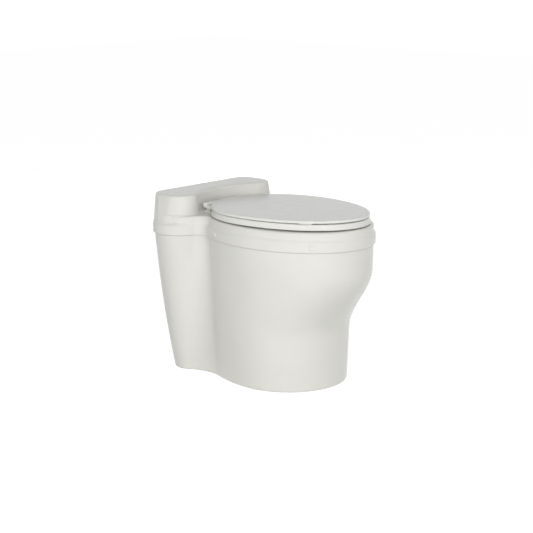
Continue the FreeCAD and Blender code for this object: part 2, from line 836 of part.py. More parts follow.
def bowl_liner():
    seat_face = worked_out(DECK) + size("gasket_height")
    top = seat_face + size("liner_flange_height")
    edge = deck_mouth(size("liner_flange_width") - size("liner_clearance"))
    flange = raised(oval_wire(*edge, seat_face), size("liner_flange_height"))
    body = liner_form(0, top).fuse(flange)
    return body.cut(liner_form(size("liner_wall"), top))


def bowl_gasket():
    height = size("gasket_height")
    inner = size("liner_clearance")
    ring = raised(oval_wire(*deck_mouth(inner + size("gasket_width")), worked_out(DECK)), height)
    return ring.cut(raised(oval_wire(*deck_mouth(inner), worked_out(DECK)), height))


# Round pieces on the tube's axis

def tube_axis(piece, height):
    place(piece, along="-sizes.tube_ahead", height=height)


def cylinder(name, radius, height):
    piece = doc.addObject("Part::Cylinder", name)
    piece.setExpression("Radius", radius)
    piece.setExpression("Height", height)
    return piece


def cut_away(name, base, tool):
    piece = doc.addObject("Part::Cut", name)
    piece.Base = base
    piece.Tool = tool
    return piece


def drop_tube():
    length = "%s - %s" % (TUBE_TOP, TUBE_BOTTOM)
    outside = cylinder("tube_outside", TUBE_RADIUS + " + sizes.tube_wall", length)
    inside = cylinder("tube_inside", TUBE_RADIUS, length)
    tube = cut_away("tube_wall", outside, inside)
    tube_axis(tube, TUBE_BOTTOM)
    return tube


def tube_seal():
    seal = doc.addObject("Part::Torus", "seal_ring")
    seal.setExpression("Radius1", TUBE_RADIUS + " - sizes.seal_room / 2")
    seal.setExpression("Radius2", "sizes.seal_radius")
    tube_axis(seal, TUBE_TOP + " - sizes.seal_drop")
    return seal


def tube_collar():
    # A socket for the pipe below, a web, and a cup that the drop tube stands in, with a flange on the floor
    body = new_body("collar_body")
    socket = "sizes.pipe_radius + sizes.pipe_gap"
    outside = socket + " + sizes.collar_wall"
    flange = outside + " + sizes.collar_flange_width"
    cup = TUBE_RADIUS + " + sizes.tube_wall + sizes.tube_gap"
    cup_outside = cup + " + sizes.collar_wall"
    floor = "sizes.shell_floor"
    flange_top = floor + " + sizes.collar_flange_height"
    web_bottom = "sizes.pipe_socket_depth"
    cup_top = TUBE_BOTTOM + " + sizes.collar_cup_height"
    corners = [
        (socket, "0"), (outside, "0"), (outside, floor), (flange, floor), (flange, flange_top),
        (outside, flange_top), (outside, TUBE_BOTTOM), (cup_outside, TUBE_BOTTOM), (cup_outside, cup_top),
        (cup, cup_top), (cup, TUBE_BOTTOM), (TUBE_RADIUS, TUBE_BOTTOM), (TUBE_RADIUS, web_bottom),
        (socket, web_bottom),
    ]
    revolve(body, polygon_sketch(body, "XZ_Plane", "collar_profile", corners), "collar_turned")
    doc.recompute()
    circle = outside + " + sizes.collar_flange_width / 2"
    half_step = "(180 / sizes.collar_screw_count)"
    hole = circle_sketch(body, "XY_Plane", "collar_hole",
                         ("(%s) * cos(%s)" % (circle, half_step), "(%s) * sin(%s)" % (circle, half_step)),
                         "sizes.collar_screw_radius + sizes.screw_clearance")
    drilled = pocket(body, hole, "collar_drilled", flange_top, reversed_way=True)
    doc.recompute()
    holes = body.newObject("PartDesign::PolarPattern", "collar_holes")
    holes.Originals = [drilled]
    holes.Axis = (origin_feature(body, "Z_Axis"), [""])
    holes.Angle = 360
    holes.setExpression("Occurrences", "sizes.collar_screw_count")
    body.Tip = holes
    tube_axis(body, "0")
    return body


# Small turned pieces of the cover

def screw_cap():
    # A thin domed cap over a screw head, open towards the lip
    body = new_body("cap_body")
    inside = "sizes.lip_screw_head_radius + sizes.clip_gap"
    ceiling = "sizes.cap_height - sizes.cap_wall"
    corners = [
        (inside, "0"),
        ("sizes.cap_radius", "0"),
        ("sizes.cap_radius", "sizes.cap_height * sizes.cap_edge_share"),
        ("sizes.cap_radius * sizes.cap_shoulder_radius_share", "sizes.cap_height * sizes.cap_shoulder_share"),
        ("sizes.cap_radius * sizes.cap_flat_radius_share", "sizes.cap_height"),
        ("0", "sizes.cap_height"),
        ("0", ceiling),
        (inside, ceiling),
    ]
    revolve(body, polygon_sketch(body, "XZ_Plane", "cap_profile", corners), "cap_turned")
    doc.recompute()
    return body


def clip_nut():
    # A flat spring nut behind the pedestal's wall, bored for the screw
    body = new_body("clip_body")
    half_width = "sizes.clip_width / 2"
    half_height = "sizes.clip_height / 2"
    corners = [("-" + half_width, "-" + half_height), (half_width, "-" + half_height),
               (half_width, half_height), ("-" + half_width, half_height)]
    pad(body, polygon_sketch(body, "XY_Plane", "clip_plan", corners), "clip_plate", "sizes.clip_thickness")
    doc.recompute()
    bore = circle_sketch(body, "XY_Plane", "clip_bore", ("0", "0"),
                         "sizes.lip_screw_radius + sizes.pin_clearance")
    pocket(body, bore, "clip_bored", "sizes.clip_thickness", reversed_way=True)
    doc.recompute()
    return body


def clip_places():
    depth = size("cover_wall") + size("shell_gap") + size("shell_wall") + size("clip_gap")
    inwards = Placement(UP * -(depth + size("clip_thickness")), Rotation())
    return [spot.multiply(inwards) for spot in lip_screw_places()]


# Hinge

def hinge_post(name):
    # A round-topped post on a foot, with a cross bore for the pin and a blind bore for the stud
    body = new_body(name)
    half_width = "sizes.post_foot_width / 2"
    half_depth = "sizes.post_foot_depth / 2"
    corners = [("-" + half_width, "-" + half_depth), (half_width, "-" + half_depth),
               (half_width, half_depth), ("-" + half_width, half_depth)]
    foot = pad(body, polygon_sketch(body, "XY_Plane", name + "_foot_plan", corners), name + "_foot",
               "sizes.post_foot_height")
    doc.recompute()
    rounding = body.newObject("PartDesign::Fillet", name + "_foot_round")
    upright = [index for index, edge in enumerate(foot.Shape.Edges, start=1)
               if edge.BoundBox.ZLength > edge.BoundBox.XLength + edge.BoundBox.YLength]
    rounding.Base = (foot, ["Edge%d" % index for index in upright])
    rounding.setExpression("Radius", "sizes.post_foot_round")
    doc.recompute()
    half_post = "sizes.post_depth / 2"
    column = [("-" + half_post, "0"), (half_post, "0"),
              (half_post, HINGE_RISE), ("-" + half_post, HINGE_RISE)]
    pad(body, polygon_sketch(body, "YZ_Plane", name + "_side", column), name + "_column",
        "sizes.post_width", midplane=True)
    top = circle_sketch(body, "YZ_Plane", name + "_top", ("0", HINGE_RISE), half_post)
    pad(body, top, name + "_head", "sizes.post_width", midplane=True)
    bore = circle_sketch(body, "YZ_Plane", name + "_bore", ("0", HINGE_RISE),
                         "sizes.pin_radius + sizes.pin_clearance")
    pocket(body, bore, name + "_bored", "2 * sizes.post_width", midplane=True)
    stud = circle_sketch(body, "XY_Plane", name + "_stud", ("0", "0"),
                         "sizes.stud_radius + sizes.pin_clearance")
    pocket(body, stud, name + "_tapped", "sizes.stud_grip", reversed_way=True)
    doc.recompute()
    return body


def along_axis(piece, across):
    # Lays a round piece along the hinge axis, starting at the given place across
    piece.Placement = Placement(Vector(0, 0, 0), Rotation(Vector(0, 1, 0), 90))
    place(piece, across=across, along="sizes.hinge_behind", height=AXIS_HEIGHT)


def hinge_pin(name, side):
    # A plain pin through the lid's lug, the post and the seat's lug
    inner = "(%s - sizes.lug_gap)" % LUG_START
    pin = cylinder(name, "sizes.pin_radius", PIN_LENGTH)
    along_axis(pin, inner if side > 0 else "-%s - %s" % (inner, PIN_LENGTH))
    return pin


def pin_cap(name, side):
    # The disc that closes the pin's outer end
    outer = "(%s - sizes.lug_gap + %s)" % (LUG_START, PIN_LENGTH)
    cap = cylinder(name, "sizes.pin_cap_radius", "sizes.pin_cap_length")
    along_axis(cap, outer if side > 0 else "-%s - sizes.pin_cap_length" % outer)
    return cap


def under_post(piece, side, height):
    place(piece, across="%d * sizes.hinge_spacing / 2" % side, along="sizes.hinge_behind", height=height)


def hinge_bolt(name, side):
    stud = cylinder(name, "sizes.stud_radius", "sizes.stud_length")
    under_post(stud, side, DECK + " + sizes.stud_grip - sizes.stud_length")
    return stud


def hinge_washer(name, side):
    disc = cylinder(name + "_disc", "sizes.washer_radius", "sizes.washer_thickness")
    bore = cylinder(name + "_bore", "sizes.stud_radius + sizes.screw_clearance", "sizes.washer_thickness")
    washer = cut_away(name, disc, bore)
    under_post(washer, side, DECK + " - sizes.cover_wall - sizes.washer_thickness")
    return washer


def wing_nut(name, side):
    # A round hub with two flat wings that reach below it
    hub = cylinder(name + "_hub", "sizes.nut_hub_radius", "sizes.nut_height")
    wings = doc.addObject("Part::Box", name + "_wings")
    wings.setExpression("Length", "2 * sizes.nut_wing_reach")
    wings.setExpression("Width", "sizes.nut_wing_thickness")
    wings.setExpression("Height", "sizes.nut_wing_height")
    wings.setExpression("Placement.Base.x", "-sizes.nut_wing_reach")
    wings.setExpression("Placement.Base.y", "-sizes.nut_wing_thickness / 2")
    wings.setExpression("Placement.Base.z", "-sizes.nut_wing_drop")
    whole = doc.addObject("Part::Fuse", name + "_whole")
    whole.Base = hub
    whole.Tool = wings
    bore = cylinder(name + "_bore", "sizes.stud_radius + sizes.pin_clearance",
                    "sizes.nut_wing_drop + sizes.nut_height")
    bore.setExpression("Placement.Base.z", "-sizes.nut_wing_drop")
    nut = cut_away(name, whole, bore)
    under_post(nut, side, DECK + " - sizes.cover_wall - sizes.washer_thickness - sizes.nut_height")
    return nut


def pair(name, maker):
    # The right and left copies of a piece, as separate solids of one group
    group = doc.addObject("Part::Compound", name)
    group.Links = [maker(name + "_right", 1), maker(name + "_left", -1)]
    return group


# The assembly

keep(shaped("pedestal", pedestal_shell()), "pedestal_shell")
keep(shaped("cover", top_cover()), "top_cover")
keep(shaped("seat", seat_ring()), "seat_ring")
keep(shaped("lid_plate", tilted(lid())), "lid")
keep(shaped("lid_pads", tilted(Part.makeCompound(lid_bumpers()))), "lid_bumpers")
seat_pad = bumper("seat_bumper", "sizes.seat_rise - sizes.bumper_gap")
keep(copies("seat_pads", seat_pad.Shape, seat_bumper_places()), "seat_bumpers")
keep(shaped("liner", bowl_liner()), "bowl_liner")
keep(shaped("gasket", bowl_gasket()), "bowl_gasket")

keep(drop_tube(), "drop_tube")
keep(tube_seal(), "tube_seal")
keep(tube_collar(), "tube_collar")
collar_screw = headed_screw("collar_screw", "sizes.collar_screw_radius", "sizes.collar_screw_length",
                            "sizes.collar_screw_head_radius", "sizes.collar_screw_head_height")
keep(copies("collar_screw_set", collar_screw.Shape, collar_screw_places()), "collar_screws")

lip_screw = headed_screw("lip_screw", "sizes.lip_screw_radius", "sizes.lip_screw_length",
                         "sizes.lip_screw_head_radius", "sizes.lip_screw_head_height")
keep(copies("lip_screw_set", lip_screw.Shape, lip_screw_places()), "cover_screws")
keep(copies("cap_set", screw_cap().Shape, lip_screw_places()), "cover_screw_caps")
keep(copies("clip_set", clip_nut().Shape, clip_places()), "cover_clip_nuts")

for side_name, side in (("right", 1), ("left", -1)):
    post = hinge_post("post_" + side_name)
    under_post(post, side, DECK)
    keep(post, "hinge_post_" + side_name)
    keep(hinge_pin("pin_" + side_name, side), "hinge_pin_" + side_name)
keep(pair("pin_cap_pair", pin_cap), "hinge_pin_caps")
keep(pair("stud_pair", hinge_bolt), "hinge_bolts")
keep(pair("washer_pair", hinge_washer), "hinge_washers")
keep(pair("nut_pair", wing_nut), "hinge_wing_nuts")

doc.recompute()

faults = ["%s: %s" % (item.Name, item.State) for item in doc.Objects
          if "Invalid" in item.State or "Error" in item.State]
for label, piece in nodes.items():
    if piece.Shape.isNull() or not piece.Shape.isValid():
        faults.append(label + ": shape is missing or not valid")
if faults:
    raise RuntimeError("; ".join(faults))

os.makedirs("parts", exist_ok=True)
for label, piece in nodes.items():
    piece.Shape.exportStep("parts/%s.step" % label)
    print("%-20s %2d solids %9.1f cm3" % (label, len(piece.Shape.Solids), piece.Shape.Volume / 1000))
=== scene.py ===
# Looks of the dry toilet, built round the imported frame. Lengths are metres, angles are degrees.
import json

import bmesh
import bpy
import numpy as np
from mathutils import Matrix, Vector


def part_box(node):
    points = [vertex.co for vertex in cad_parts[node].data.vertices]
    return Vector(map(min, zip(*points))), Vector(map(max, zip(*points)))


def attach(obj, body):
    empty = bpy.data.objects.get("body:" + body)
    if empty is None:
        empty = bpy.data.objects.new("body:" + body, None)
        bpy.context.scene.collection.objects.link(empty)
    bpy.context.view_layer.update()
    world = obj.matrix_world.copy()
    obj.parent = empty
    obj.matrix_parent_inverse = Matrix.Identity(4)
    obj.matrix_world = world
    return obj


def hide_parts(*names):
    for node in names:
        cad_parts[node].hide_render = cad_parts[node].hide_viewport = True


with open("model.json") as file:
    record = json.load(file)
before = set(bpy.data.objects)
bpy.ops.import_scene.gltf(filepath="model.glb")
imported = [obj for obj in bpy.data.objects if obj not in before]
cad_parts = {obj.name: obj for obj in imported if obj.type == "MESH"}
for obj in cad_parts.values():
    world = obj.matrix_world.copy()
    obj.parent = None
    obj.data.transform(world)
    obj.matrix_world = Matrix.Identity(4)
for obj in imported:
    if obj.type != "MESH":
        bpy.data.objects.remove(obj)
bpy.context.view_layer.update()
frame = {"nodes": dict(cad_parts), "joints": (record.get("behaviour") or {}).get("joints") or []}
cadNodes = frame["nodes"]


# Heights and places that the frame gives

def corners(node):
    low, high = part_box(node)
    return np.array(low), np.array(high)


coverLow, coverHigh = corners("top_cover")
shellHigh = corners("pedestal_shell")[1]
seatLow, seatHigh = corners("seat_ring")
lidHigh = corners("lid")[1]
linerLow, linerHigh = corners("bowl_liner")
tubeLow, tubeHigh = corners("drop_tube")
collarHigh = corners("tube_collar")[1]
gasketLow, gasketHigh = corners("bowl_gasket")
hinge = np.array(frame["joints"][0]["pos_m"])
tubeY = (tubeLow[1] + tubeHigh[1]) / 2
deckZ = gasketLow[2]

hingeBehind = 0.190     # from the seat's centre back to the hinge
seatY = hinge[1] - hingeBehind


# Meshes from grids of points

weldDistance = 1e-6


def gridMesh(name, rings, joined=True):
    # Quads between neighbouring rings, each a closed row of points
    # Joined also closes the last ring to the first
    rows, columns = rings.shape[:2]
    index = np.arange(rows * columns).reshape(rows, columns)
    beside = np.roll(index, -1, axis=1)
    above = np.roll(index, -1, axis=0)
    across = np.roll(beside, -1, axis=0)
    quads = np.stack([index, beside, across, above], axis=-1)
    quads = (quads if joined else quads[:-1]).reshape(-1, 4)
    mesh = bpy.data.meshes.new(name)
    mesh.vertices.add(rows * columns)
    mesh.vertices.foreach_set("co", rings.astype(np.float32).ravel())
    mesh.loops.add(quads.size)
    mesh.loops.foreach_set("vertex_index", quads.astype(np.int32).ravel())
    mesh.polygons.add(len(quads))
    mesh.polygons.foreach_set("loop_start", np.arange(0, quads.size, 4, dtype=np.int32))
    mesh.update(calc_edges=True)
    weld = bmesh.new()
    weld.from_mesh(mesh)
    bmesh.ops.remove_doubles(weld, verts=weld.verts, dist=weldDistance)
    weld.to_mesh(mesh)
    weld.free()
    return mesh


def newPiece(name, mesh):
    piece = bpy.data.objects.new(name, mesh)
    bpy.context.scene.collection.objects.link(piece)
    return piece


def gathered(name, meshes):
    # One mesh that holds several loose ones
    whole = bmesh.new()
    for mesh in meshes:
        whole.from_mesh(mesh)
    mesh = bpy.data.meshes.new(name)
    whole.to_mesh(mesh)
    whole.free()
    return mesh


def combined(mesh, steps):
    # Joins or cuts closed meshes one after another, each step an operation and a mesh
    piece = newPiece(mesh.name + "Blank", mesh)
    helpers = []
    for operation, other in steps:
        helpers.append(newPiece(other.name + "Tool", other))
        change = piece.modifiers.new(operation, "BOOLEAN")
        change.operation = operation
        change.solver = "MANIFOLD"
        change.object = helpers[-1]
    depsgraph = bpy.context.evaluated_depsgraph_get()
    result = bpy.data.meshes.new_from_object(piece.evaluated_get(depsgraph))
    for helper in [piece] + helpers:
        bpy.data.objects.remove(helper)
    return result


def smoothed(mesh, sharpAbove=40):
    mesh.shade_smooth()
    mesh.set_sharp_from_angle(angle=np.radians(sharpAbove))
    return mesh


def addPiece(name, mesh, body, slot, *replaced):
    piece = newPiece(name, smoothed(mesh))
    piece.data.name = name
    piece.data.materials.clear()
    piece.data.materials.append(materials[slot])
    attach(piece, body)
    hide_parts(*replaced)


# Closed outlines, all counter-clockwise seen from the end that the rings climb to

def quarterRound(radius, steps):
    # Drawn-in distance and climb round an outer edge, from a flat face to an upright wall
    turn = np.linspace(0, np.pi / 2, steps)
    return radius * (1 - np.sin(turn)), radius * (1 - np.cos(turn))


def raisedRings(flat, z):
    # Puts each flat ring at its height
    z = np.broadcast_to(np.reshape(z, (-1, 1)), flat.shape[:2])
    return np.concatenate([flat, z[..., None]], axis=-1)


def ringsBetween(first, last, rows):
    # Rings spread evenly from one ring to another, both included
    return first + (last - first) * np.linspace(0, 1, rows)[:, None, None]


def fullTurn(columns):
    return np.linspace(0, 2 * np.pi, columns, endpoint=False)


def ovalRings(reaches, outset=0.0, columns=240):
    # Two half ellipses, front and rear, that share one width: x is half times cosine, y reach times sine
    half, front, rear = [np.reshape(reach + outset, (-1, 1)) for reach in reaches]
    turn = fullTurn(columns) - np.pi / 2
    reach = np.where(np.sin(turn) < 0, front, rear)
    x, y = np.broadcast_arrays(half * np.cos(turn), reach * np.sin(turn))
    return np.stack([x, y + seatY], axis=-1)


def ovalToward(ring, middleY, reaches, behind=0.0):
    # Where straight lines from a point behind the oval's centre to another ring's points cross the oval
    half, front, rear = reaches
    source = np.array([0, middleY + behind])
    away = ring - source
    lengths = []
    for reach in (front, rear):
        spread = (away[..., 0] / half) ** 2 + (away[..., 1] / reach) ** 2
        slant = behind * away[..., 1] / reach ** 2
        lengths.append((np.sqrt(slant ** 2 + spread * (1 - (behind / reach) ** 2)) - slant) / spread)
    length = np.where(behind + lengths[0] * away[..., 1] < 0, lengths[0], lengths[1])
    return source + away * length[..., None]


def circleToward(ring, middleY, radius):
    return ovalToward(ring, middleY, [radius] * 3)


def circleRings(radius, middleY, columns=160):
    turn = fullTurn(columns)
    radius = np.reshape(radius, (-1, 1))
    return np.stack([radius * np.cos(turn), radius * np.sin(turn) + middleY], axis=-1)


outlineColumns = {"nose": 44, "side": 30, "waist": 22, "end": 30, "rear": 12}


def arcRows(middleX, middleY, radius, first, last, count):
    # Evenly turned points about each ring's own centre, without the last one
    turn = first + (last - first) * np.linspace(0, 1, count, endpoint=False)
    return middleX + radius * np.cos(turn), middleY + radius * np.sin(turn)


def mirrorClosed(x, y, lastY):
    # The right half, the rear's middle point, and the right half mirrored and taken backwards
    lastY = np.broadcast_to(np.reshape(lastY, (-1, 1)), (len(x), 1))
    wholeX = np.concatenate([x, np.zeros_like(lastY), -x[:, :0:-1]], axis=1)
    wholeY = np.concatenate([y, lastY, y[:, :0:-1]], axis=1)
    return np.stack([wholeX, wholeY + seatY], axis=-1)


def planRings(plan):
    # Half an ellipse at the nose, a side arc, a hollow waist arc, an end arc and a straight rear
    # The waist arc touches both of its neighbours
    plan = {part: np.reshape(value, (-1, 1)) for part, value in plan.items()}
    side = plan["sideRadius"]
    waist = plan["waistRadius"]
    end = plan["endRadius"]
    sideX = plan["bowlHalf"] - side
    sideY = plan["widest"]
    endX = plan["endHalf"] - end
    endY = plan["rear"] - end
    gapX = endX - sideX
    gapY = endY - sideY
    span = np.hypot(gapX, gapY)
    along = ((side + waist) ** 2 - (end + waist) ** 2 + span ** 2) / (2 * span)
    aside = np.sqrt((side + waist) ** 2 - along ** 2)
    waistX = sideX + (gapX * along + gapY * aside) / span
    waistY = sideY + (gapY * along - gapX * aside) / span
    intoWaist = np.arctan2(waistY - sideY, waistX - sideX)
    outOfWaist = np.arctan2(waistY - endY, waistX - endX)
    waistTurn = (outOfWaist - intoWaist + np.pi) % (2 * np.pi) - np.pi
    turn = np.linspace(-np.pi / 2, 0, outlineColumns["nose"], endpoint=False)
    share = np.linspace(0, 1, outlineColumns["rear"], endpoint=False)
    noseX = plan["bowlHalf"] * np.cos(turn)
    noseY = plan["widest"] + (plan["front"] + plan["widest"]) * np.sin(turn)
    sides = arcRows(sideX, sideY, side, 0, intoWaist, outlineColumns["side"])
    waistStart = intoWaist + np.pi
    hollow = arcRows(waistX, waistY, waist, waistStart, waistStart + waistTurn, outlineColumns["waist"])
    ends = arcRows(endX, endY, end, outOfWaist, np.pi / 2, outlineColumns["end"])
    rearX = endX * (1 - share)
    rearY = plan["rear"] + 0 * rearX
    x = np.concatenate([noseX, sides[0], hollow[0], ends[0], rearX], axis=1)
    y = np.concatenate([noseY, sides[1], hollow[1], ends[1], rearY], axis=1)
    return mirrorClosed(x, y, plan["rear"])


def grown(plan, distance):
    # The plan at an even distance outside the given one
    signs = {"waistRadius": -1, "widest": 0}
    return {part: value + signs.get(part, 1) * distance for part, value in plan.items()}


def turnedMesh(name, profile, spot, axis, columns=48):
    # A profile of radius and height, carried round an axis that starts at the spot
    axis = np.array(axis, float)
    isUpright = abs(axis[2]) > 0.9
    aside = np.array([1.0, 0, 0]) if isUpright else np.array([axis[1], -axis[0], 0])
    upright = np.cross(axis, aside)
    turn = fullTurn(columns)
    circle = np.cos(turn)[:, None] * aside + np.sin(turn)[:, None] * upright
    profile = np.array(profile, float)
    rings = profile[:, :1, None] * circle + profile[:, 1:, None] * axis + np.array(spot)
    return gridMesh(name, rings, joined=False)


def rodMesh(name, radius, start, length, axis):
    return turnedMesh(name, [(0, 0), (radius, 0), (radius, length), (0, length)], start, axis)


boreOver = 0.002     # an upright bore starts and ends this far outside what it cuts


def uprightBores(name, radius, places, low, high):
    length = high - low + 2 * boreOver
    rods = [rodMesh(name, radius, (x, y, low - boreOver), length, (0, 0, 1)) for x, y in places]
    return gathered(name, rods)


def slabMesh(name, loops, depths, toWorld):
    # Loops of (a, b) points stacked by depth, both ends closed to their middles, then turned into place
    first, last = [loop.mean(axis=1, keepdims=True) + 0 * loop for loop in (loops[:1], loops[-1:])]
    loops = np.concatenate([first, loops, last])
    depths = np.concatenate([depths[:1], depths, depths[-1:]])
    return gridMesh(name, toWorld(raisedRings(loops, depths)), joined=False)


def roundedDepths(low, high, radius, steps=5):
    # Drawn-in distances and depths of a slab whose two ends have rounded edges
    drawnIn, climb = quarterRound(radius, steps)
    return np.concatenate([drawnIn, drawnIn[::-1]]), np.concatenate([low + climb, high - climb[::-1]])


def boxLoops(halfLength, halfWidth, cornerRadius, drawnIn, perCorner=8):
    # A rectangle with round corners, drawn in evenly at each depth
    turn = np.linspace(0, np.pi / 2, perCorner)
    turns = np.concatenate([turn + quarter * np.pi / 2 for quarter in range(4)])
    signX = np.repeat([1, -1, -1, 1], perCorner)
    signY = np.repeat([1, 1, -1, -1], perCorner)
    radius = cornerRadius - np.reshape(drawnIn, (-1, 1))
    x = signX * (halfLength - cornerRadius) + radius * np.cos(turns)
    y = signY * (halfWidth - cornerRadius) + radius * np.sin(turns)
    return np.stack([x, y], axis=-1)


def armLoops(big, bigRadius, small, smallRadius, drawnIn, perEnd=24):
    # The outline of two circles and the straight lines that touch both, drawn in evenly at each depth
    away = np.array(small) - np.array(big)
    distance = np.hypot(*away)
    heading = np.arctan2(away[1], away[0])
    lean = np.arccos((bigRadius - smallRadius) / distance)
    drawnIn = np.reshape(drawnIn, (-1, 1))
    turnBig = heading + np.linspace(lean, 2 * np.pi - lean, perEnd)
    turnSmall = heading + np.linspace(-lean, lean, perEnd)
    x = np.concatenate([big[0] + (bigRadius - drawnIn) * np.cos(turnBig),
                        small[0] + (smallRadius - drawnIn) * np.cos(turnSmall)], axis=1)
    y = np.concatenate([big[1] + (bigRadius - drawnIn) * np.sin(turnBig),
                        small[1] + (smallRadius - drawnIn) * np.sin(turnSmall)], axis=1)
    return np.stack([x, y], axis=-1)


def sideways(points):
    # Loops drawn as (along Y, height) with their depth along X
    return points[..., [2, 0, 1]]


# Finishes

def clearedTree(holder):
    holder.use_nodes = True
    holder.node_tree.nodes.clear()
    return holder.node_tree


def newNode(tree, kind, values):
    # A shader node with these values at its inputs
    node = tree.nodes.new(kind)
    for socket, value in values.items():
        node.inputs[socket].default_value = value
    return node


def newMaterial(name):
    material = bpy.data.materials.new(name)
    tree = clearedTree(material)
    shader = tree.nodes.new("ShaderNodeBsdfPrincipled")
    output = tree.nodes.new("ShaderNodeOutputMaterial")
    tree.links.new(shader.outputs["BSDF"], output.inputs["Surface"])
    place = tree.nodes.new("ShaderNodeTexCoord")
    return material, tree, shader, place


def noiseNode(tree, place, scale, detail, roughness=0.55, stretch=None):
    noise = newNode(tree, "ShaderNodeTexNoise", {"Scale": scale, "Detail": detail, "Roughness": roughness})
    source = place.outputs["Object"]
    if stretch:
        mapping = newNode(tree, "ShaderNodeMapping", {"Scale": stretch})
        tree.links.new(source, mapping.inputs["Vector"])
        source = mapping.outputs["Vector"]
    tree.links.new(source, noise.inputs["Vector"])
    return noise.outputs["Fac"]


def rangeNode(tree, value, fromLow, fromHigh, toLow, toHigh):
    limits = {"From Min": fromLow, "From Max": fromHigh, "To Min": toLow, "To Max": toHigh}
    node = newNode(tree, "ShaderNodeMapRange", limits)
    tree.links.new(value, node.inputs["Value"])
    return node.outputs["Result"]


def linear(red, green, blue):
    # An 8-bit screen colour as the shader's own linear one
    share = np.array([red, green, blue]) / 255
    light = np.where(share <= 0.04045, share / 12.92, ((share + 0.055) / 1.055) ** 2.4)
    return (*light.tolist(), 1.0)


def rampNode(tree, value, stops, colours):
    ramp = tree.nodes.new("ShaderNodeValToRGB")
    for element, position, colour in zip(ramp.color_ramp.elements, stops, colours):
        element.position = position
        element.color = linear(*colour)
    tree.links.new(value, ramp.inputs["Fac"])
    return ramp.outputs["Color"]


def bumpNode(tree, shader, height, strength, depth):
    bump = newNode(tree, "ShaderNodeBump", {"Strength": strength, "Distance": depth})
    tree.links.new(height, bump.inputs["Height"])
    tree.links.new(bump.outputs["Normal"], shader.inputs["Normal"])


finePeel = {"scale": 420.0, "strength": 0.025, "depth": 0.0004}
coarsePeel = {"scale": 260.0, "strength": 0.16, "depth": 0.0005}
moulding = {
    "cloudStops": (0.32, 0.68),
    "wearScale": 34.0,
    "wearRange": (0.3, 0.7),
    "refraction": 1.49,
}


def mouldedPlastic(name, pale, deep, gloss, peel=coarsePeel, cloudScale=7.0):
    # Cloudy colour of moulded plastic, uneven gloss and a fine orange-peel skin
    material, tree, shader, place = newMaterial(name)
    cloud = noiseNode(tree, place, cloudScale, detail=6, roughness=0.6)
    colour = rampNode(tree, cloud, moulding["cloudStops"], (deep, pale))
    tree.links.new(colour, shader.inputs["Base Color"])
    wear = noiseNode(tree, place, moulding["wearScale"], detail=5)
    tree.links.new(rangeNode(tree, wear, *moulding["wearRange"], *gloss), shader.inputs["Roughness"])
    skin = noiseNode(tree, place, peel["scale"], detail=2)
    bumpNode(tree, shader, skin, peel["strength"], peel["depth"])
    shader.inputs["IOR"].default_value = moulding["refraction"]
    return material


finishes = {
    "shell_plastic": {
        "name": "bonePlastic", "pale": (229, 228, 222), "deep": (225, 224, 217),
        "gloss": (0.18, 0.26), "peel": finePeel,
    },
    "seat_plastic": {
        "name": "seatPlastic", "pale": (230, 230, 225), "deep": (227, 226, 220),
        "gloss": (0.16, 0.24), "peel": finePeel,
    },
    "liner_plastic": {
        "name": "linerPlastic", "pale": (74, 75, 76), "deep": (62, 63, 64), "gloss": (0.36, 0.5),
    },
    "nut_plastic": {
        "name": "nutPlastic", "pale": (217, 215, 208), "deep": (209, 207, 199), "gloss": (0.4, 0.52),
    },
    "bumper_rubber": {
        "name": "padRubber", "pale": (214, 213, 207), "deep": (204, 203, 196),
        "gloss": (0.6, 0.75), "cloudScale": 60.0,
    },
    "seal_rubber": {
        "name": "sealRubber", "pale": (40, 40, 41), "deep": (28, 28, 29),
        "gloss": (0.62, 0.8), "cloudScale": 60.0,
    },
}
materials = {slot: mouldedPlastic(**finish) for slot, finish in finishes.items()}

steelFinish = {
    "name": "drawnSteel",
    "pale": (196, 197, 199),
    "deep": (168, 169, 172),
    "stops": (0.35, 0.65),
    "scale": 3.0,
    "stretch": (60.0, 900.0, 900.0),
    "lineRange": (0.3, 0.7),
    "gloss": (0.24, 0.36),
    "strength": 0.08,
    "depth": 0.0002,
}


def drawnSteel(name, pale, deep, stops, scale, stretch, lineRange, gloss, strength, depth):
    # Bright steel with fine lines along its length
    material, tree, shader, place = newMaterial(name)
    lines = noiseNode(tree, place, scale, detail=3, stretch=stretch)
    tree.links.new(rampNode(tree, lines, stops, (deep, pale)), shader.inputs["Base Color"])
    tree.links.new(rangeNode(tree, lines, *lineRange, *gloss), shader.inputs["Roughness"])
    shader.inputs["Metallic"].default_value = 1.0
    bumpNode(tree, shader, lines, strength, depth)
    return material


materials["fastener_steel"] = drawnSteel(**steelFinish)
print("finishes: moulded plastics, rubbers and steel")


# Pedestal: a hollow shell, narrow at the floor, with an S curve under the bowl's nose

lipPlan = {
    "bowlHalf": 0.1905,
    "widest": -0.030,
    "sideRadius": 0.330,
    "waistRadius": 0.030,
    "endRadius": 0.074,
    "endHalf": coverHigh[0],
    "front": seatY - coverLow[1],
    "rear": coverHigh[1] - seatY,
}
pedestal = {
    "floorPlan": {
        "bowlHalf": 0.160,
        "widest": tubeY - seatY,
        "sideRadius": 0.340,
        "waistRadius": 0.120,
        "endRadius": 0.045,
        "endHalf": 0.147,
        "front": 0.185,
        "rear": 0.287,
    },
    "rimInset": 0.0055,         # the rim stands this far inside the lip
    "rimDrop": 0.008,           # its upright part starts this far below the lip
    "bulge": 0.4,
    "curveDrop": 0.058,
    "curveLength": 0.180,
    "wall": 0.005,
    "floor": 0.008,
    "footRound": 0.006,
    "pipeHole": 0.1323,
    "screwHole": 0.0045,
    "screwSide": 0.095,
    "screwRows": (0.160, 0.240),
    "outerRows": 72,
    "innerRows": 48,
    "floorRows": 8,
}


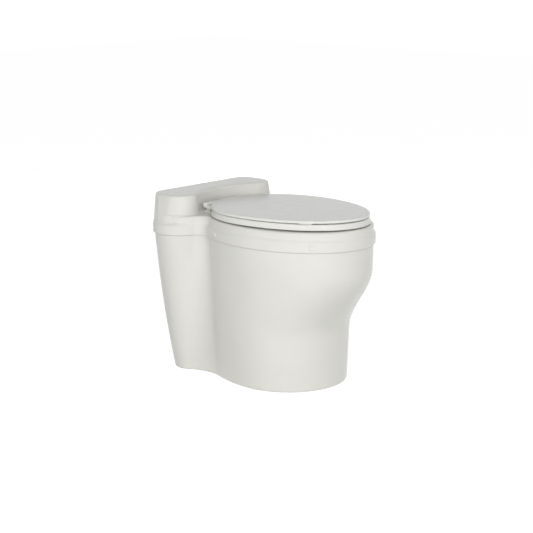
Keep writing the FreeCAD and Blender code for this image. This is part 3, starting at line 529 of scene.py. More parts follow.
def pedestalPlan(z):
    # Between the floor's plan and the rim's by height, the front on a smooth step
    low = pedestal["floorPlan"]
    rim = grown(lipPlan, -pedestal["rimInset"])
    rimStart = coverLow[2] - pedestal["rimDrop"]
    share = np.minimum(z / rimStart, 1)
    share = share + pedestal["bulge"] * share * (1 - share)
    plan = {part: low[part] + (rim[part] - low[part]) * share for part in low}
    climb = np.clip(1 - (rimStart - pedestal["curveDrop"] - z) / pedestal["curveLength"], 0, 1)
    plan["front"] = low["front"] + (rim["front"] - low["front"]) * climb ** 2 * (3 - 2 * climb)
    return plan


def pedestalMesh():
    # Up the outside, over the rim, down the inside, in over the floor, through the pipe's hole and out below
    floor = pedestal["floor"]
    drawnIn, climb = quarterRound(pedestal["footRound"], steps=8)
    outerZ = np.linspace(climb[-1], shellHigh[2], pedestal["outerRows"])[1:]
    innerZ = np.linspace(shellHigh[2], floor, pedestal["innerRows"])
    z = np.concatenate([climb, outerZ, innerZ])
    inset = np.concatenate([drawnIn, 0 * outerZ, np.full_like(innerZ, pedestal["wall"])])
    rings = planRings(grown(pedestalPlan(z), -inset))
    hole = circleToward(rings[-1:], tubeY, pedestal["pipeHole"])
    inFloor = raisedRings(ringsBetween(rings[-1:], hole, pedestal["floorRows"])[1:], floor)
    underFloor = raisedRings(ringsBetween(hole, rings[:1], pedestal["floorRows"])[:-1], 0.0)
    return gridMesh("pedestal", np.concatenate([raisedRings(rings, z), inFloor, underFloor]))


holePlaces = [(side * pedestal["screwSide"], seatY + row)
              for side in (-1, 1) for row in pedestal["screwRows"]]
floorHoles = uprightBores("floorHoles", pedestal["screwHole"], holePlaces, 0, pedestal["floor"])
pedestalWhole = combined(pedestalMesh(), [("DIFFERENCE", floorHoles)])
addPiece("pedestal", pedestalWhole, "root", "shell_plastic", "pedestal_shell")
print("pedestal: shell with floor holes")


# Top cover: lip, skirt and deck in one, and the raised housing behind the lid

cover = {
    "wall": 0.004,
    "lipHeight": 0.030,
    "lipRound": 0.003,
    "step": 0.005,
    "stepHalf": 0.005,          # half the height of the S curve from the lip to the skirt
    "skirtInset": 0.008,
    "deckRound": 0.008,
    "mouth": (0.118, 0.210, 0.128),
    "mouthRound": 0.0012,
    "fan": 0.112,               # the deck's lines start this far behind the seat's centre, clear of the waist
    "stepRows": 15,
    "skirtRows": 8,
    "deckRows": 12,
}
housing = {
    "wrap": 0.006,
    "hollow": 0.042,
    "corner": 0.064,
    "cornerTaper": 0.0205,
    "endDraft": 0.020,
    "frontDraft": 0.009,
    "rearStep": 0.0035,
    "rearDraft": 0.0005,
    "topRound": 0.006,
    "footRound": 0.005,         # the hollow curve from the deck up into the front
    "tuck": 0.0003,             # keeps the foot of the wall inside the lip's face
    "dip": 1.2,                 # it starts this many half S curves below the ledge
    "rootShares": (0.6, 0.5),   # rows where its wall passes the deck, as shares of the deck's wall
    "stepRows": 14,
    "wallRows": 14,
    "innerRows": 24,
    "roofRows": 6,
    "frontColumns": 30,
    "cornerColumns": 26,
}
ledgeZ = coverLow[2] + cover["lipHeight"]


def easedStep(z):
    # Smooth rise from nought below the S curve to one above it: a cubic that is level at both ends
    sway = np.clip((z - ledgeZ) / cover["stepHalf"], -1, 1)
    return (2 + 3 * sway - sway ** 3) / 4


def skirtPlan(share, inset):
    # The lip's plan drawn in by a share of the step, and a little more at the rear
    plan = grown(lipPlan, -(cover["step"] * share + inset))
    plan["endHalf"] = plan["endHalf"] - cover["skirtInset"] * share
    plan["rear"] = plan["rear"] - cover["skirtInset"] * share
    return plan


def deckMesh():
    # Up the lip, in over the step, up the skirt, in over the deck to the mouth, and back along the underside
    wall = cover["wall"]
    lipBottom = coverLow[2]
    lipIn, lipClimb = quarterRound(cover["lipRound"], steps=7)
    lipZ = np.concatenate([[lipBottom], lipBottom + lipClimb])
    lipRings = raisedRings(planRings(grown(lipPlan, -np.concatenate([[wall], lipIn]))), lipZ)
    deckIn, deckClimb = quarterRound(cover["deckRound"], steps=10)
    stepZ = ledgeZ + cover["stepHalf"] * np.linspace(-1, 1, cover["stepRows"])
    wallZ = np.linspace(stepZ[-1], deckZ - cover["deckRound"], cover["skirtRows"])[1:-1]
    skirtZ = np.concatenate([stepZ, wallZ, deckZ - deckClimb[::-1]])
    skirtInset = np.concatenate([0 * stepZ, 0 * wallZ, deckIn[::-1]])
    skirtRings = raisedRings(planRings(skirtPlan(easedStep(skirtZ), skirtInset)), skirtZ)
    edge = skirtRings[-1:, :, :2]
    mouthIn, mouthClimb = quarterRound(cover["mouthRound"], steps=5)
    mouths = np.concatenate([
        ovalToward(edge, seatY, [reach + outset for reach in cover["mouth"]], cover["fan"])
        for outset in mouthIn
    ])
    deckRings = raisedRings(ringsBetween(edge, mouths[:1], cover["deckRows"])[1:], deckZ)
    mouthRings = raisedRings(mouths, deckZ - mouthClimb)
    under = planRings(skirtPlan(1.0, np.array([wall])))
    below = ovalToward(under, seatY, cover["mouth"], cover["fan"])
    underRings = raisedRings(ringsBetween(below, under, cover["deckRows"]), deckZ - wall)
    innerRings = raisedRings(under, ledgeZ - wall)
    lipInner = raisedRings(planRings(grown(lipPlan, np.array([-wall]))), ledgeZ - wall)
    rings = [lipRings, skirtRings, deckRings, mouthRings, underRings, innerRings, lipInner]
    return gridMesh("deck", np.concatenate(rings))


def housingRings(half, front, middle, rear, corner):
    # A hollow front arc, a front corner that it runs into, a straight end, a rear corner and a straight rear
    sizes = (half, front, middle, rear, corner)
    half, front, middle, rear, corner = [np.reshape(value, (-1, 1)) for value in sizes]
    cornerX = half - corner
    frontY = front + corner
    back = frontY - middle
    hollow = (cornerX ** 2 + back ** 2 - corner ** 2) / (2 * (corner - back))
    touch = np.arctan2(back + hollow, cornerX)
    fronts = arcRows(0, middle - hollow, hollow, np.pi / 2, touch, housing["frontColumns"])
    nearCorner = arcRows(cornerX, frontY, corner, touch - np.pi, 0, housing["cornerColumns"])
    farCorner = arcRows(cornerX, rear - corner, corner, 0, np.pi / 2, housing["cornerColumns"])
    share = np.linspace(0, 1, housing["frontColumns"], endpoint=False)
    rearX = cornerX * (1 - share)
    x = np.concatenate([fronts[0], nearCorner[0], farCorner[0], rearX], axis=1)
    y = np.concatenate([fronts[1], nearCorner[1], farCorner[1], rear + 0 * rearX], axis=1)
    return mirrorClosed(x, y, rear)


def spine(rings):
    # Half way between each point and the one across the housing, so that a ring closes on its own middle line
    columns = rings.shape[1]
    across = (columns // 2 - np.arange(columns)) % columns
    return (rings + rings[:, across]) / 2


def housingMesh(name, inset, wallZ, settled, foot, rounding):
    # Walls that lean in to a rounded top edge, closed flat above and below
    # Settled is the share of the lip's step that the wall has taken at each height
    drawnIn, climb = [amount[-2::-1] for amount in quarterRound(rounding, steps=10)]
    top = wallZ[-1] + rounding
    z = np.concatenate([wallZ, top - climb])
    settled = np.concatenate([settled, np.ones_like(climb)])
    foot = np.concatenate([foot, 0 * climb])
    inward = inset + housing["tuck"] * (1 - settled) + np.concatenate([0 * wallZ, drawnIn])
    lean = np.maximum(z - ledgeZ, 0) / (coverHigh[2] - ledgeZ)
    half = lipPlan["endHalf"] - cover["step"] * settled - housing["endDraft"] * lean - inward
    front = hingeBehind - housing["wrap"] + housing["frontDraft"] * lean + inward - foot
    rear = lipPlan["rear"] - housing["rearStep"] * settled - housing["rearDraft"] * lean - inward
    corner = lipPlan["endRadius"] + (housing["corner"] - lipPlan["endRadius"]) * settled
    corner = corner - housing["cornerTaper"] * lean - inward
    flat = housingRings(half, front, front + housing["hollow"], rear, corner)
    roof = ringsBetween(flat[-1:], spine(flat[-1:]), housing["roofRows"])[1:]
    base = ringsBetween(flat[:1], spine(flat[:1]), housing["roofRows"])[:0:-1]
    rings = np.concatenate([raisedRings(base, wallZ[0]), raisedRings(flat, z), raisedRings(roof, top)])
    return gridMesh(name, rings, joined=False)


lipScrews = {"sideBehind": 0.084, "frontAngle": 48, "rearInset": 0.033, "drop": 0.015, "bore": 0.00215}


def lipScrewPlaces():
    # Places and outward directions of the six screws in the lip
    lean = np.arcsin((lipScrews["sideBehind"] - lipPlan["widest"]) / lipPlan["sideRadius"])
    sideX = lipPlan["bowlHalf"] - lipPlan["sideRadius"] * (1 - np.cos(lean))
    turn = np.radians(lipScrews["frontAngle"])
    reach = lipPlan["front"] + lipPlan["widest"]
    frontOut = np.array([np.cos(turn) / lipPlan["bowlHalf"], -np.sin(turn) / reach])
    frontOut = frontOut / np.hypot(*frontOut)
    rearX = lipPlan["endHalf"] - lipPlan["endRadius"] - lipScrews["rearInset"]
    rows = [
        (sideX, lipScrews["sideBehind"], np.cos(lean), np.sin(lean)),
        (lipPlan["bowlHalf"] * np.cos(turn), lipPlan["widest"] - reach * np.sin(turn), *frontOut),
        (rearX, lipPlan["rear"], 0.0, 1.0),
    ]
    z = ledgeZ - lipScrews["drop"]
    return [((side * x, y + seatY, z), (side * outX, outY, 0.0))
            for x, y, outX, outY in rows for side in (1, -1)]


def coverMesh():
    # The deck joined with the housing, hollowed from below and bored for the lip's screws
    wall = cover["wall"]
    footOut, footClimb = quarterRound(housing["footRound"], steps=8)
    wallTop = coverHigh[2] - housing["topRound"]
    stepZ = ledgeZ + cover["stepHalf"] * np.linspace(-housing["dip"], 1, housing["stepRows"])
    rootZ = deckZ - wall * np.array(housing["rootShares"])
    frontZ = np.linspace(deckZ + housing["footRound"], wallTop, housing["wallRows"])[1:]
    outerZ = np.concatenate([stepZ, rootZ, deckZ + footClimb, frontZ])
    foot = np.concatenate([0 * stepZ, [0, footOut[0]], footOut, 0 * frontZ])
    outside = housingMesh("housingOutside", 0.0, outerZ, easedStep(outerZ), foot, housing["topRound"])
    innerZ = np.linspace(ledgeZ - 2 * wall, wallTop, housing["innerRows"])
    innerRound = housing["topRound"] - wall
    inside = housingMesh("housingInside", wall, innerZ, np.ones_like(innerZ), 0 * innerZ, innerRound)
    depth = 3 * wall
    bores = [rodMesh("bore", lipScrews["bore"], np.array(spot) - np.array(out) * depth / 2, depth, out)
             for spot, out in lipScrewPlaces()]
    steps = [("UNION", outside), ("DIFFERENCE", inside), ("DIFFERENCE", gathered("bores", bores))]
    return combined(deckMesh(), steps)


addPiece("topCover", coverMesh(), "root", "shell_plastic", "top_cover")
print("cover: lip, deck and housing")

capShape = {"radius": 0.007, "height": 0.0026, "edge": 0.0006}
capFullness = 0.7     # below one, the dome of a cap is fuller at its rim
capColumns = 40


def capProfile(radius, height, edge, steps=8):
    # A short upright edge, then a low dome that is round at its rim and flat on top
    turn = np.linspace(0, np.pi / 2, steps)
    dome = np.stack([radius * np.cos(turn) ** capFullness, edge + (height - edge) * np.sin(turn)], axis=-1)
    return np.concatenate([[(0, 0), (radius, 0)], dome])


def capMeshes(name, shape, places):
    # One cap for each place and outward direction
    profile = capProfile(**shape)
    return gathered(name, [turnedMesh("cap", profile, spot, out, capColumns) for spot, out in places])


screwCaps = capMeshes("screwCaps", capShape, lipScrewPlaces())
addPiece("screwCaps", screwCaps, "root", "shell_plastic", "cover_screw_caps")
print("caps:", len(lipScrewPlaces()))


# Seat: a flat ring with a straight rear edge and two hinge arms

seat = {
    "outer": (seatHigh[0], seatY - seatLow[1], 0.198),
    "mouth": (0.108, 0.200, 0.118),
    "slant": 0.004,
    "edgeRound": 0.005,
    "footRound": 0.002,
    "dish": 0.0022,
    "hingeGap": 0.0115,
    "lugInner": 0.085,
    "lugWidth": 0.0115,
    "lugRound": 0.0008,
    "knuckle": 0.007,
    "armRoot": (0.127, -0.009),
    "armTip": (0.190, -0.004),
    "armRadii": (0.0032, 0.004),
    "gap": 0.004,
    "thickness": 0.015,
    "topRows": 10,
    "underRows": 6,
    "lugColumns": 64,
}
pin = {"bore": 0.00355, "reach": 0.12}     # the bore is cut this far to each side
seatBottom = deckZ + seat["gap"]
seatTop = seatBottom + seat["thickness"]


def seatMesh():
    # Up the slanting outside, over the dished top, down the mouth and out along the underside
    edgeIn, edgeClimb = quarterRound(seat["edgeRound"], steps=8)
    footIn, footClimb = quarterRound(seat["footRound"], steps=5)
    outIn = np.concatenate([footIn, edgeIn[::-1] + seat["slant"]])
    outZ = np.concatenate([seatBottom + footClimb, seatTop - edgeClimb[::-1]])
    outer = ovalRings(seat["outer"], -outIn)
    straight = seatY + hingeBehind - seat["hingeGap"] - np.reshape(outIn, (-1, 1))
    outer[..., 1] = np.minimum(outer[..., 1], straight)
    inner = ovalRings(seat["mouth"], edgeIn)
    innerZ = seatTop - seat["dish"] - edgeClimb
    share = np.linspace(0, 1, seat["topRows"])[1:-1]
    across = ringsBetween(outer[-1:], inner[:1], seat["topRows"])[1:-1]
    acrossZ = seatTop - seat["dish"] * share ** 2
    foot = ovalRings(seat["mouth"], footIn[::-1])
    footZ = seatBottom + footClimb[::-1]
    under = ringsBetween(foot[-1:], outer[:1], seat["underRows"])[1:-1]
    rings = [raisedRings(outer, outZ), raisedRings(across, acrossZ), raisedRings(inner, innerZ),
             raisedRings(foot, footZ), raisedRings(under, seatBottom)]
    return gridMesh("seat", np.concatenate(rings))


def pinBores():
    spot = np.array([-pin["reach"], hinge[1], hinge[2]])
    return rodMesh("pinBore", pin["bore"], spot, 2 * pin["reach"], (1, 0, 0))


def withLugs(mesh, inner, arms):
    # Joins a round knuckle on the hinge axis and an arm at each side, as slabs across the object
    # The bore for the hinge's pin then passes through them
    steps = []
    for low in (inner, -inner - seat["lugWidth"]):
        drawnIn, depth = roundedDepths(low, low + seat["lugWidth"], seat["lugRound"])
        turn = fullTurn(seat["lugColumns"])
        radius = seat["knuckle"] - drawnIn[:, None]
        ring = np.stack([radius * np.cos(turn), radius * np.sin(turn)], axis=-1) + hinge[1:]
        steps.append(("UNION", slabMesh("knuckle", ring, depth, sideways)))
        steps.append(("UNION", slabMesh("arm", armLoops(*arms, drawnIn), depth, sideways)))
    return combined(mesh, steps + [("DIFFERENCE", pinBores())])


def seatWhole():
    root, tip = [(seatY + along, hinge[2] + rise) for along, rise in (seat["armRoot"], seat["armTip"])]
    tipRadius, rootRadius = seat["armRadii"]
    return withLugs(seatMesh(), seat["lugInner"], (root, rootRadius, tip, tipRadius))


addPiece("seatRing", seatWhole(), "seat", "seat_plastic", "seat_ring")
print("seat: ring with hinge arms")


# Lid: a thin crowned plate with a rim below, tilted by the pads under its front

lid = {
    "edge": (lidHigh[0], 0.267, 0.200),
    "gap": 0.0008,
    "thickness": 0.0095,
    "sideFall": 0.0016,
    "frontFall": 0.0022,
    "rearFall": 0.0006,
    "edgeRound": 0.0045,
    "footRound": 0.001,
    "rim": 0.009,
    "rimStep": 0.001,
    "recess": 0.0025,
    "tilt": 0.3,
    "lugInner": 0.0585,
    "armRoot": (0.172, 0.0032),
    "armRadius": 0.0018,
    "underRows": 14,
    "topRows": 26,
}
lidBottom = seatTop + lid["gap"]


def tilted(points):
    # Turned about the hinge so that the front rises
    turn = np.radians(lid["tilt"])
    y = points[..., 1] - hinge[1]
    z = points[..., 2] - hinge[2]
    return np.stack([points[..., 0], hinge[1] + y * np.cos(turn) + z * np.sin(turn),
                     hinge[2] - y * np.sin(turn) + z * np.cos(turn)], axis=-1)


def crownZ(flat):
    # A low dome: the falls to the side and to the front or rear grow with the square of the way out
    half, front, rear = lid["edge"]
    along = flat[..., 1] - seatY
    ahead = lid["frontFall"] * (along / front) ** 2
    behind = lid["rearFall"] * (along / rear) ** 2
    fall = lid["sideFall"] * (flat[..., 0] / half) ** 2 + np.where(along < 0, ahead, behind)
    return lidBottom + lid["thickness"] - fall


def lidMesh():
    # From the middle of the underside out over the rim, up the edge, and in over the crown
    edgeIn, edgeClimb = quarterRound(lid["edgeRound"], steps=8)
    footIn, footClimb = quarterRound(lid["footRound"], steps=4)
    innerReach = [reach - lid["rim"] for reach in lid["edge"]]
    share = np.linspace(0, 1, lid["underRows"])
    under = raisedRings(ovalRings([reach * share for reach in innerReach]), lidBottom + lid["recess"])
    rimSteps = np.array([0, lid["rimStep"]])
    rim = raisedRings(ovalRings(innerReach, rimSteps), lidBottom)
    foot = raisedRings(ovalRings(lid["edge"], -footIn), lidBottom + footClimb)
    shoulder = ovalRings(lid["edge"], -edgeIn[::-1])
    shoulder = np.concatenate([shoulder, (crownZ(shoulder[-1:]) - edgeClimb[::-1, None])[..., None]], axis=-1)
    topShare = np.linspace(1, 0, lid["topRows"])[1:]
    top = ovalRings([(reach - lid["edgeRound"]) * topShare for reach in lid["edge"]])
    top = np.concatenate([top, crownZ(top)[..., None]], axis=-1)
    return gridMesh("lid", tilted(np.concatenate([under, rim, foot, shoulder, top])), joined=False)


def lidWhole():
    root = (seatY + lid["armRoot"][0], hinge[2] + lid["armRoot"][1])
    arms = ((hinge[1], hinge[2]), seat["knuckle"], root, lid["armRadius"])
    return withLugs(lidMesh(), lid["lugInner"], arms)


addPiece("lidPlate", lidWhole(), "lid", "seat_plastic", "lid")
print("lid: crowned plate with hinge lugs")


# Pads under the lid and under the seat

pads = {
    "halfLength": 0.016,
    "halfWidth": 0.0045,
    "cornerRadius": 0.0012,
    "edgeRound": 0.0006,
    "gap": 0.0003,
    "sink": 0.0003,             # the lid's pads reach this far into the lid
    "lidAngle": -46,
    "lidInset": 0.006,
    "seatFrontAngle": -20,
    "seatRearAngle": 42,
    "linerFlange": 0.0105,
}


def padMesh(name, reaches, angle, side, low, high):
    # A rounded slab that follows an oval at an angle from straight aside
    half, front, rear = reaches
    turn = np.radians(angle)
    reach = front if angle < 0 else rear
    spot = np.array([side * half * np.cos(turn), seatY + reach * np.sin(turn)])
    along = np.array([-side * half * np.sin(turn), reach * np.cos(turn)])
    along = along / np.hypot(*along)
    aside = np.array([-along[1], along[0]])
    drawnIn, depth = roundedDepths(low, high, pads["edgeRound"])
    loops = boxLoops(pads["halfLength"], pads["halfWidth"], pads["cornerRadius"], drawnIn)

    def toWorld(points):
        flat = spot + points[..., :1] * along + points[..., 1:2] * aside
        return np.concatenate([flat, points[..., 2:]], axis=-1)

    return slabMesh(name, loops, depth, toWorld)


def lidPads():
    # Their height fills the gap that the lid's tilt opens above the seat
    reaches = [reach - pads["lidInset"] for reach in lid["edge"]]
    behind = hingeBehind - reaches[1] * np.sin(np.radians(pads["lidAngle"]))
    height = lid["gap"] - pads["gap"] + behind * np.tan(np.radians(lid["tilt"]))
    low, high = lidBottom - height, lidBottom + pads["sink"]
    meshes = [padMesh("lidPad", reaches, pads["lidAngle"], side, low, high) for side in (1, -1)]
    mesh = gathered("lidPads", meshes)
    points = np.empty(len(mesh.vertices) * 3, np.float32)
    mesh.vertices.foreach_get("co", points)
    mesh.vertices.foreach_set("co", tilted(points.reshape(-1, 3).astype(float)).astype(np.float32).ravel())
    return mesh


def seatPads():
    # On the middle line between the liner's flange and the seat's edge
    edges = zip(seat["outer"], cover["mouth"])
    reaches = [(outer + mouth + pads["linerFlange"]) / 2 for outer, mouth in edges]
    meshes = [padMesh("seatPad", reaches, angle, side, deckZ + pads["gap"], seatBottom)
              for side in (1, -1) for angle in (pads["seatFrontAngle"], pads["seatRearAngle"])]
    return gathered("seatPads", meshes)


addPiece("lidPads", lidPads(), "lid", "bumper_rubber", "lid_bumpers")
addPiece("seatPads", seatPads(), "seat", "bumper_rubber", "seat_bumpers")
print("pads: two on the lid, four on the seat")


# Hinge posts and the caps of their pins

post = {
    "spacing": 0.155,
    "width": 0.014,
    "radius": 0.007,
    "edgeRound": 0.001,
    "footHalfWidth": 0.012,
    "footHalfDepth": 0.014,
    "footHeight": 0.0035,
    "footCorner": 0.005,
    "footRound": 0.0012,
    "columnStart": 0.001,       # the column starts this far up in the foot
    "topColumns": 32,
    "cap": {"radius": 0.0065, "height": 0.0027, "edge": 0.0012},
    "capStart": 0.097,
}


def postMesh(side):
    # A round-topped column on a rounded foot
    middle = side * post["spacing"] / 2
    drawnIn, depth = roundedDepths(middle - post["width"] / 2, middle + post["width"] / 2, post["edgeRound"])
    turn = np.linspace(0, np.pi, post["topColumns"])
    radius = post["radius"] - drawnIn[:, None]
    low = np.full((len(drawnIn), 1), deckZ + post["columnStart"])
    y = hinge[1] + np.concatenate([radius * np.cos(turn), -radius, radius], axis=1)
    z = np.concatenate([hinge[2] + radius * np.sin(turn), low, low], axis=1)
    column = slabMesh("column", np.stack([y, z], axis=-1), depth, sideways)
    footIn, footClimb = quarterRound(post["footRound"], steps=5)
    footIn = np.concatenate([[0], footIn[::-1]])
    footZ = np.concatenate([[deckZ], deckZ + post["footHeight"] - footClimb[::-1]])
    loops = boxLoops(post["footHalfWidth"], post["footHalfDepth"], post["footCorner"], footIn)

    def toWorld(points):
        return points + np.array([middle, hinge[1], 0])

    foot = slabMesh("foot", loops, footZ, toWorld)
    return combined(foot, [("UNION", column), ("DIFFERENCE", pinBores())])


for sideName, side in (("Right", 1), ("Left", -1)):
    node = "hinge_post_" + sideName.lower()
    addPiece("hingePost" + sideName, postMesh(side), "root", "seat_plastic", node)
capPlaces = [((side * post["capStart"], hinge[1], hinge[2]), (side, 0, 0)) for side in (1, -1)]
pinCaps = capMeshes("pinCaps", post["cap"], capPlaces)
addPiece("pinCaps", pinCaps, "root", "seat_plastic", "hinge_pin_caps")
print("hinge: posts and pin caps")


# Liner, tube and collar in the middle

liner = {
    "clearance": 0.0015,
    "wall": 0.003,
    "flange": 0.012,
    "flangeHeight": 0.002,
    "throat": 0.113,
    "throatDrop": 0.108,
    "edge": 0.0008,
    "rows": 28,
}


def linerMesh():
    # Up the spigot and the funnel, out under the flange, over its round edge, and down the inside
    seatFace = linerHigh[2] - liner["flangeHeight"]
    throatZ = deckZ - liner["throatDrop"]
    mouthOval = [reach - liner["clearance"] for reach in cover["mouth"]]
    mouthRing = ovalRings(mouthOval)
    throatRing = circleToward(mouthRing, tubeY, liner["throat"])
    outside = ringsBetween(throatRing, mouthRing, liner["rows"])
    outsideZ = np.linspace(throatZ, seatFace, liner["rows"])
    innerMouth = ovalRings(mouthOval, -liner["wall"])
    innerThroat = circleToward(innerMouth, tubeY, liner["throat"] - liner["wall"])
    inside = ringsBetween(innerMouth, innerThroat, liner["rows"])
    insideZ = np.linspace(linerHigh[2], throatZ, liner["rows"])
    edgeIn, edgeClimb = quarterRound(liner["edge"], steps=5)
    lipOval = ovalRings(mouthOval, liner["flange"] - edgeIn[::-1])
    lipRings = raisedRings(lipOval, linerHigh[2] - edgeClimb[::-1])
    under = raisedRings(ovalRings(mouthOval, liner["flange"]), seatFace)
    rings = [raisedRings(throatRing, linerLow[2]), raisedRings(outside, outsideZ), under, lipRings,
             raisedRings(inside, insideZ), raisedRings(innerThroat, linerLow[2])]
    return gridMesh("liner", np.concatenate(rings))


addPiece("bowlLiner", linerMesh(), "root", "liner_plastic", "bowl_liner")

gasketShape = {"inner": 0.0015, "width": 0.008}


def gasketMesh():
    # A flat oval band between the deck and the liner's flange
    outsets = np.array([gasketShape["inner"] + gasketShape["width"]] * 2 + [gasketShape["inner"]] * 2)
    heights = np.array([gasketLow[2], gasketHigh[2], gasketHigh[2], gasketLow[2]])
    return gridMesh("gasket", raisedRings(ovalRings(cover["mouth"], outsets), heights))


addPiece("bowlGasket", gasketMesh(), "root", "seal_rubber", "bowl_gasket")

tube = {"wall": 0.004, "edge": 0.001, "rows": 4}
tubeOuter = tubeHigh[0]


def tubeMesh():
    # Up the outside, over a rounded end, down the bore
    inner = tubeOuter - tube["wall"]
    edgeIn, edgeClimb = quarterRound(tube["edge"], steps=4)
    sideZ = np.linspace(tubeLow[2], tubeHigh[2] - tube["edge"], tube["rows"])
    endZ = tubeHigh[2] - edgeClimb
    radius = np.concatenate([tubeOuter + 0 * sideZ, tubeOuter - edgeIn[::-1], inner + edgeIn, [inner]])
    height = np.concatenate([sideZ, endZ[::-1], endZ, [tubeLow[2]]])
    return gridMesh("tube", raisedRings(circleRings(radius, tubeY), height))


addPiece("dropTube", tubeMesh(), "root", "liner_plastic", "drop_tube")

sealShape = {"middle": 0.1145, "radius": 0.0014, "drop": 0.015, "columns": 20}


def sealMesh():
    # A ring of round section: radius plus cosine, height plus sine
    turn = fullTurn(sealShape["columns"])
    radius = sealShape["middle"] + sealShape["radius"] * np.cos(turn)
    height = tubeHigh[2] - sealShape["drop"] + sealShape["radius"] * np.sin(turn)
    return gridMesh("seal", raisedRings(circleRings(radius, tubeY), height))


addPiece("tubeSeal", sealMesh(), "root", "seal_rubber", "tube_seal")

collar = {
    "socket": 0.1273,
    "wall": 0.004,
    "web": 0.004,
    "socketDepth": 0.055,
    "flange": 0.017,
    "flangeHeight": 0.004,
    "cup": 0.1203,
    "bore": 0.116,
    "screwBore": 0.00215,
    "screws": 6,
}


def collarMesh():
    # The socket's outside, the flange on the floor, the web, the cup round the tube, and back down inside
    socket, cup, bore = collar["socket"], collar["cup"], collar["bore"]
    outside = socket + collar["wall"]
    flangeEdge = outside + collar["flange"]
    cupOutside = cup + collar["wall"]
    floor = pedestal["floor"]
    flangeTop = floor + collar["flangeHeight"]
    webBottom = collar["socketDepth"]
    webTop = webBottom + collar["web"]
    cupTop = collarHigh[2]
    profile = np.array([
        (outside, 0), (outside, floor), (flangeEdge, floor), (flangeEdge, flangeTop), (outside, flangeTop),
        (outside, webTop), (cupOutside, webTop), (cupOutside, cupTop), (cup, cupTop), (cup, webTop),
        (bore, webTop), (bore, webBottom), (socket, webBottom), (socket, 0),
    ])
    mesh = gridMesh("collar", raisedRings(circleRings(profile[:, 0], tubeY), profile[:, 1]))
    turns = 2 * np.pi * (np.arange(collar["screws"]) + 0.5) / collar["screws"]
    middle = outside + collar["flange"] / 2
    places = [(middle * np.cos(turn), tubeY + middle * np.sin(turn)) for turn in turns]
    bores = uprightBores("collarBores", collar["screwBore"], places, floor, flangeTop)
    return combined(mesh, [("DIFFERENCE", bores)])


addPiece("tubeCollar", collarMesh(), "root", "liner_plastic", "tube_collar")
print("middle: liner, gasket, tube, seal and collar")

keptSlots = {
    "hinge_wing_nuts": "nut_plastic",
    "collar_screws": "fastener_steel",
    "cover_screws": "fastener_steel",
    "cover_clip_nuts": "fastener_steel",
    "hinge_pin_right": "fastener_steel",
    "hinge_pin_left": "fastener_steel",
    "hinge_bolts": "fastener_steel",
    "hinge_washers": "fastener_steel",
}
for nodeName, slot in keptSlots.items():
    cadNodes[nodeName].data.materials.clear()
    cadNodes[nodeName].data.materials.append(materials[slot])
print("kept nodes:", len(keptSlots))


# Floor, light and camera

studio = {
    "floorHalf": 9.0,
    "floorColour": linear(236, 236, 235),
    "floorGlow": 0.75,
    "glowStrength": 1.26,
    "skyColour": (0.96, 0.97, 1.0, 1.0),
    "skyStrength": 0.205,
    "roomColour": (1.0, 1.0, 1.0, 1.0),
    "aimHeight": 0.25,
    "lampSize": 2.4,
    "lamps": {
        "near": {"spot": (-2.4, -2.2, 2.0), "power": 37.0},
        "low": {"spot": (-1.6, -2.9, 0.7), "power": 23.0},
        "left": {"spot": (-3.4, -0.4, 1.4), "power": 30.0},
        "right": {"spot": (2.6, -2.2, 1.2), "power": 19.0},
        "behind": {"spot": (2.4, 2.5, 0.6), "power": 40.0},
        "spark": {"spot": (-1.85, -2.85, 2.2), "power": 11.0, "size": 0.6, "inGloss": True},
    },
}


def seenDirectly(tree):
    # One for camera, glossy and transmitted rays, nought for the rays that carry soft light
    rays = tree.nodes.new("ShaderNodeLightPath")
    seen = rays.outputs["Is Camera Ray"]
    for kind in ("Is Glossy Ray", "Is Transmission Ray"):
        either = tree.nodes.new("ShaderNodeMath")
        either.operation = "MAXIMUM"
        tree.links.new(seen, either.inputs[0])
        tree.links.new(rays.outputs[kind], either.inputs[1])
        seen = either.outputs[0]
    return seen


def mixedSurface(tree, outputKind, share, soft, direct):
    # The share of the direct shader, and the rest of the soft one
    mixed = tree.nodes.new("ShaderNodeMixShader")
    output = tree.nodes.new(outputKind)
    tree.links.new(share, mixed.inputs["Fac"])
    tree.links.new(soft.outputs[0], mixed.inputs[1])
    tree.links.new(direct.outputs[0], mixed.inputs[2])
    tree.links.new(mixed.outputs[0], output.inputs["Surface"])


def litFloor():
    # A pale floor that takes the shadow and glows white to the rays that see it directly
    material = bpy.data.materials.new("paleFloor")
    tree = clearedTree(material)
    pale = newNode(tree, "ShaderNodeBsdfDiffuse", {"Color": studio["floorColour"]})
    glow = newNode(tree, "ShaderNodeEmission", {"Strength": studio["glowStrength"]})
    share = newNode(tree, "ShaderNodeMath", {1: studio["floorGlow"]})
    share.operation = "MULTIPLY"
    tree.links.new(seenDirectly(tree), share.inputs[0])
    mixedSurface(tree, "ShaderNodeOutputMaterial", share.outputs[0], pale, glow)
    return material


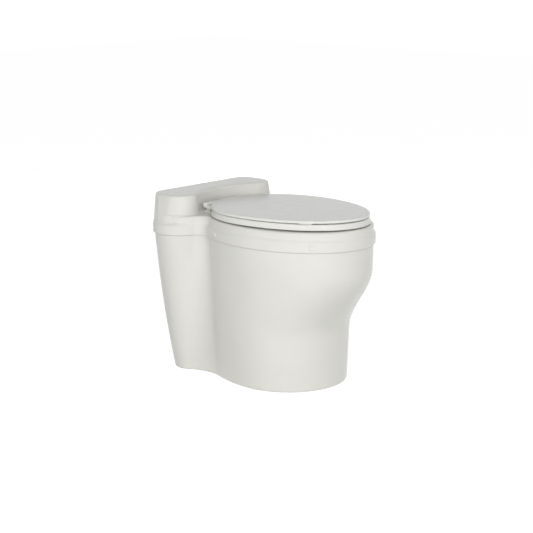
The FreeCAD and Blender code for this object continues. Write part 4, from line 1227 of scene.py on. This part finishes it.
half = studio["floorHalf"]
floorCorners = [(-half, -half, 0), (half, -half, 0), (half, half, 0), (-half, half, 0)]
floorMesh = bpy.data.meshes.new("floor")
floorMesh.from_pydata(floorCorners, [], [(0, 1, 2, 3)])
floorMesh.materials.append(litFloor())
newPiece("floor", floorMesh)


def studioSky():
    # White to the rays that see it directly, a soft even light to the rest
    world = bpy.data.worlds.new("studio")
    tree = clearedTree(world)
    sky = {"Color": studio["skyColour"], "Strength": studio["skyStrength"]}
    soft = newNode(tree, "ShaderNodeBackground", sky)
    white = newNode(tree, "ShaderNodeBackground", {"Color": studio["roomColour"]})
    mixedSurface(tree, "ShaderNodeOutputWorld", seenDirectly(tree), soft, white)
    bpy.context.scene.world = world


def aimed(name, data, spot, direction):
    # A lamp or a camera at its spot, turned to look along the direction
    holder = newPiece(name, data)
    holder.location = spot
    holder.rotation_mode = "QUATERNION"
    holder.rotation_quaternion = Vector(direction).to_track_quat("-Z", "Y")
    return holder


studioSky()
for lampName, lamp in studio["lamps"].items():
    light = bpy.data.lights.new(lampName, "AREA")
    light.shape = "DISK"
    light.size = lamp.get("size", studio["lampSize"])
    light.energy = lamp["power"]
    toSeat = np.array([0, seatY, studio["aimHeight"]]) - np.array(lamp["spot"])
    holder = aimed(lampName, light, lamp["spot"], toSeat)
    holder.visible_glossy = lamp.get("inGloss", False)     # large lamps stay out of the gloss

view = {
    "spot": (-3.0330, -2.7138, 1.2067),
    "lens": 104.43,
    "sensor": 36.0,
    "azimuth": -48.4,
    "offAxis": (14.86, 107.33),
    "pixels": 1546.19,
}


def viewDirection():
    # The frame's middle lies off the line to the seat's foot by these pixels, at a focal length in pixels too
    turn = np.radians(view["azimuth"])
    away = np.array([0, seatY, 0]) - np.array(view["spot"])
    ahead = away / np.linalg.norm(away)
    right = np.array([np.cos(turn), np.sin(turn), 0])
    up = np.cross(right, ahead)
    offRight, offUp = np.array(view["offAxis"]) / view["pixels"]
    return ahead - right * offRight + up * offUp


eye = bpy.data.cameras.new("camera")
eye.sensor_width = view["sensor"]
eye.lens = view["lens"]
bpy.context.scene.camera = aimed("camera", eye, view["spot"], viewDirection())
bpy.context.scene.view_settings.view_transform = "Standard"
print("studio: floor, sky, lamps and camera")
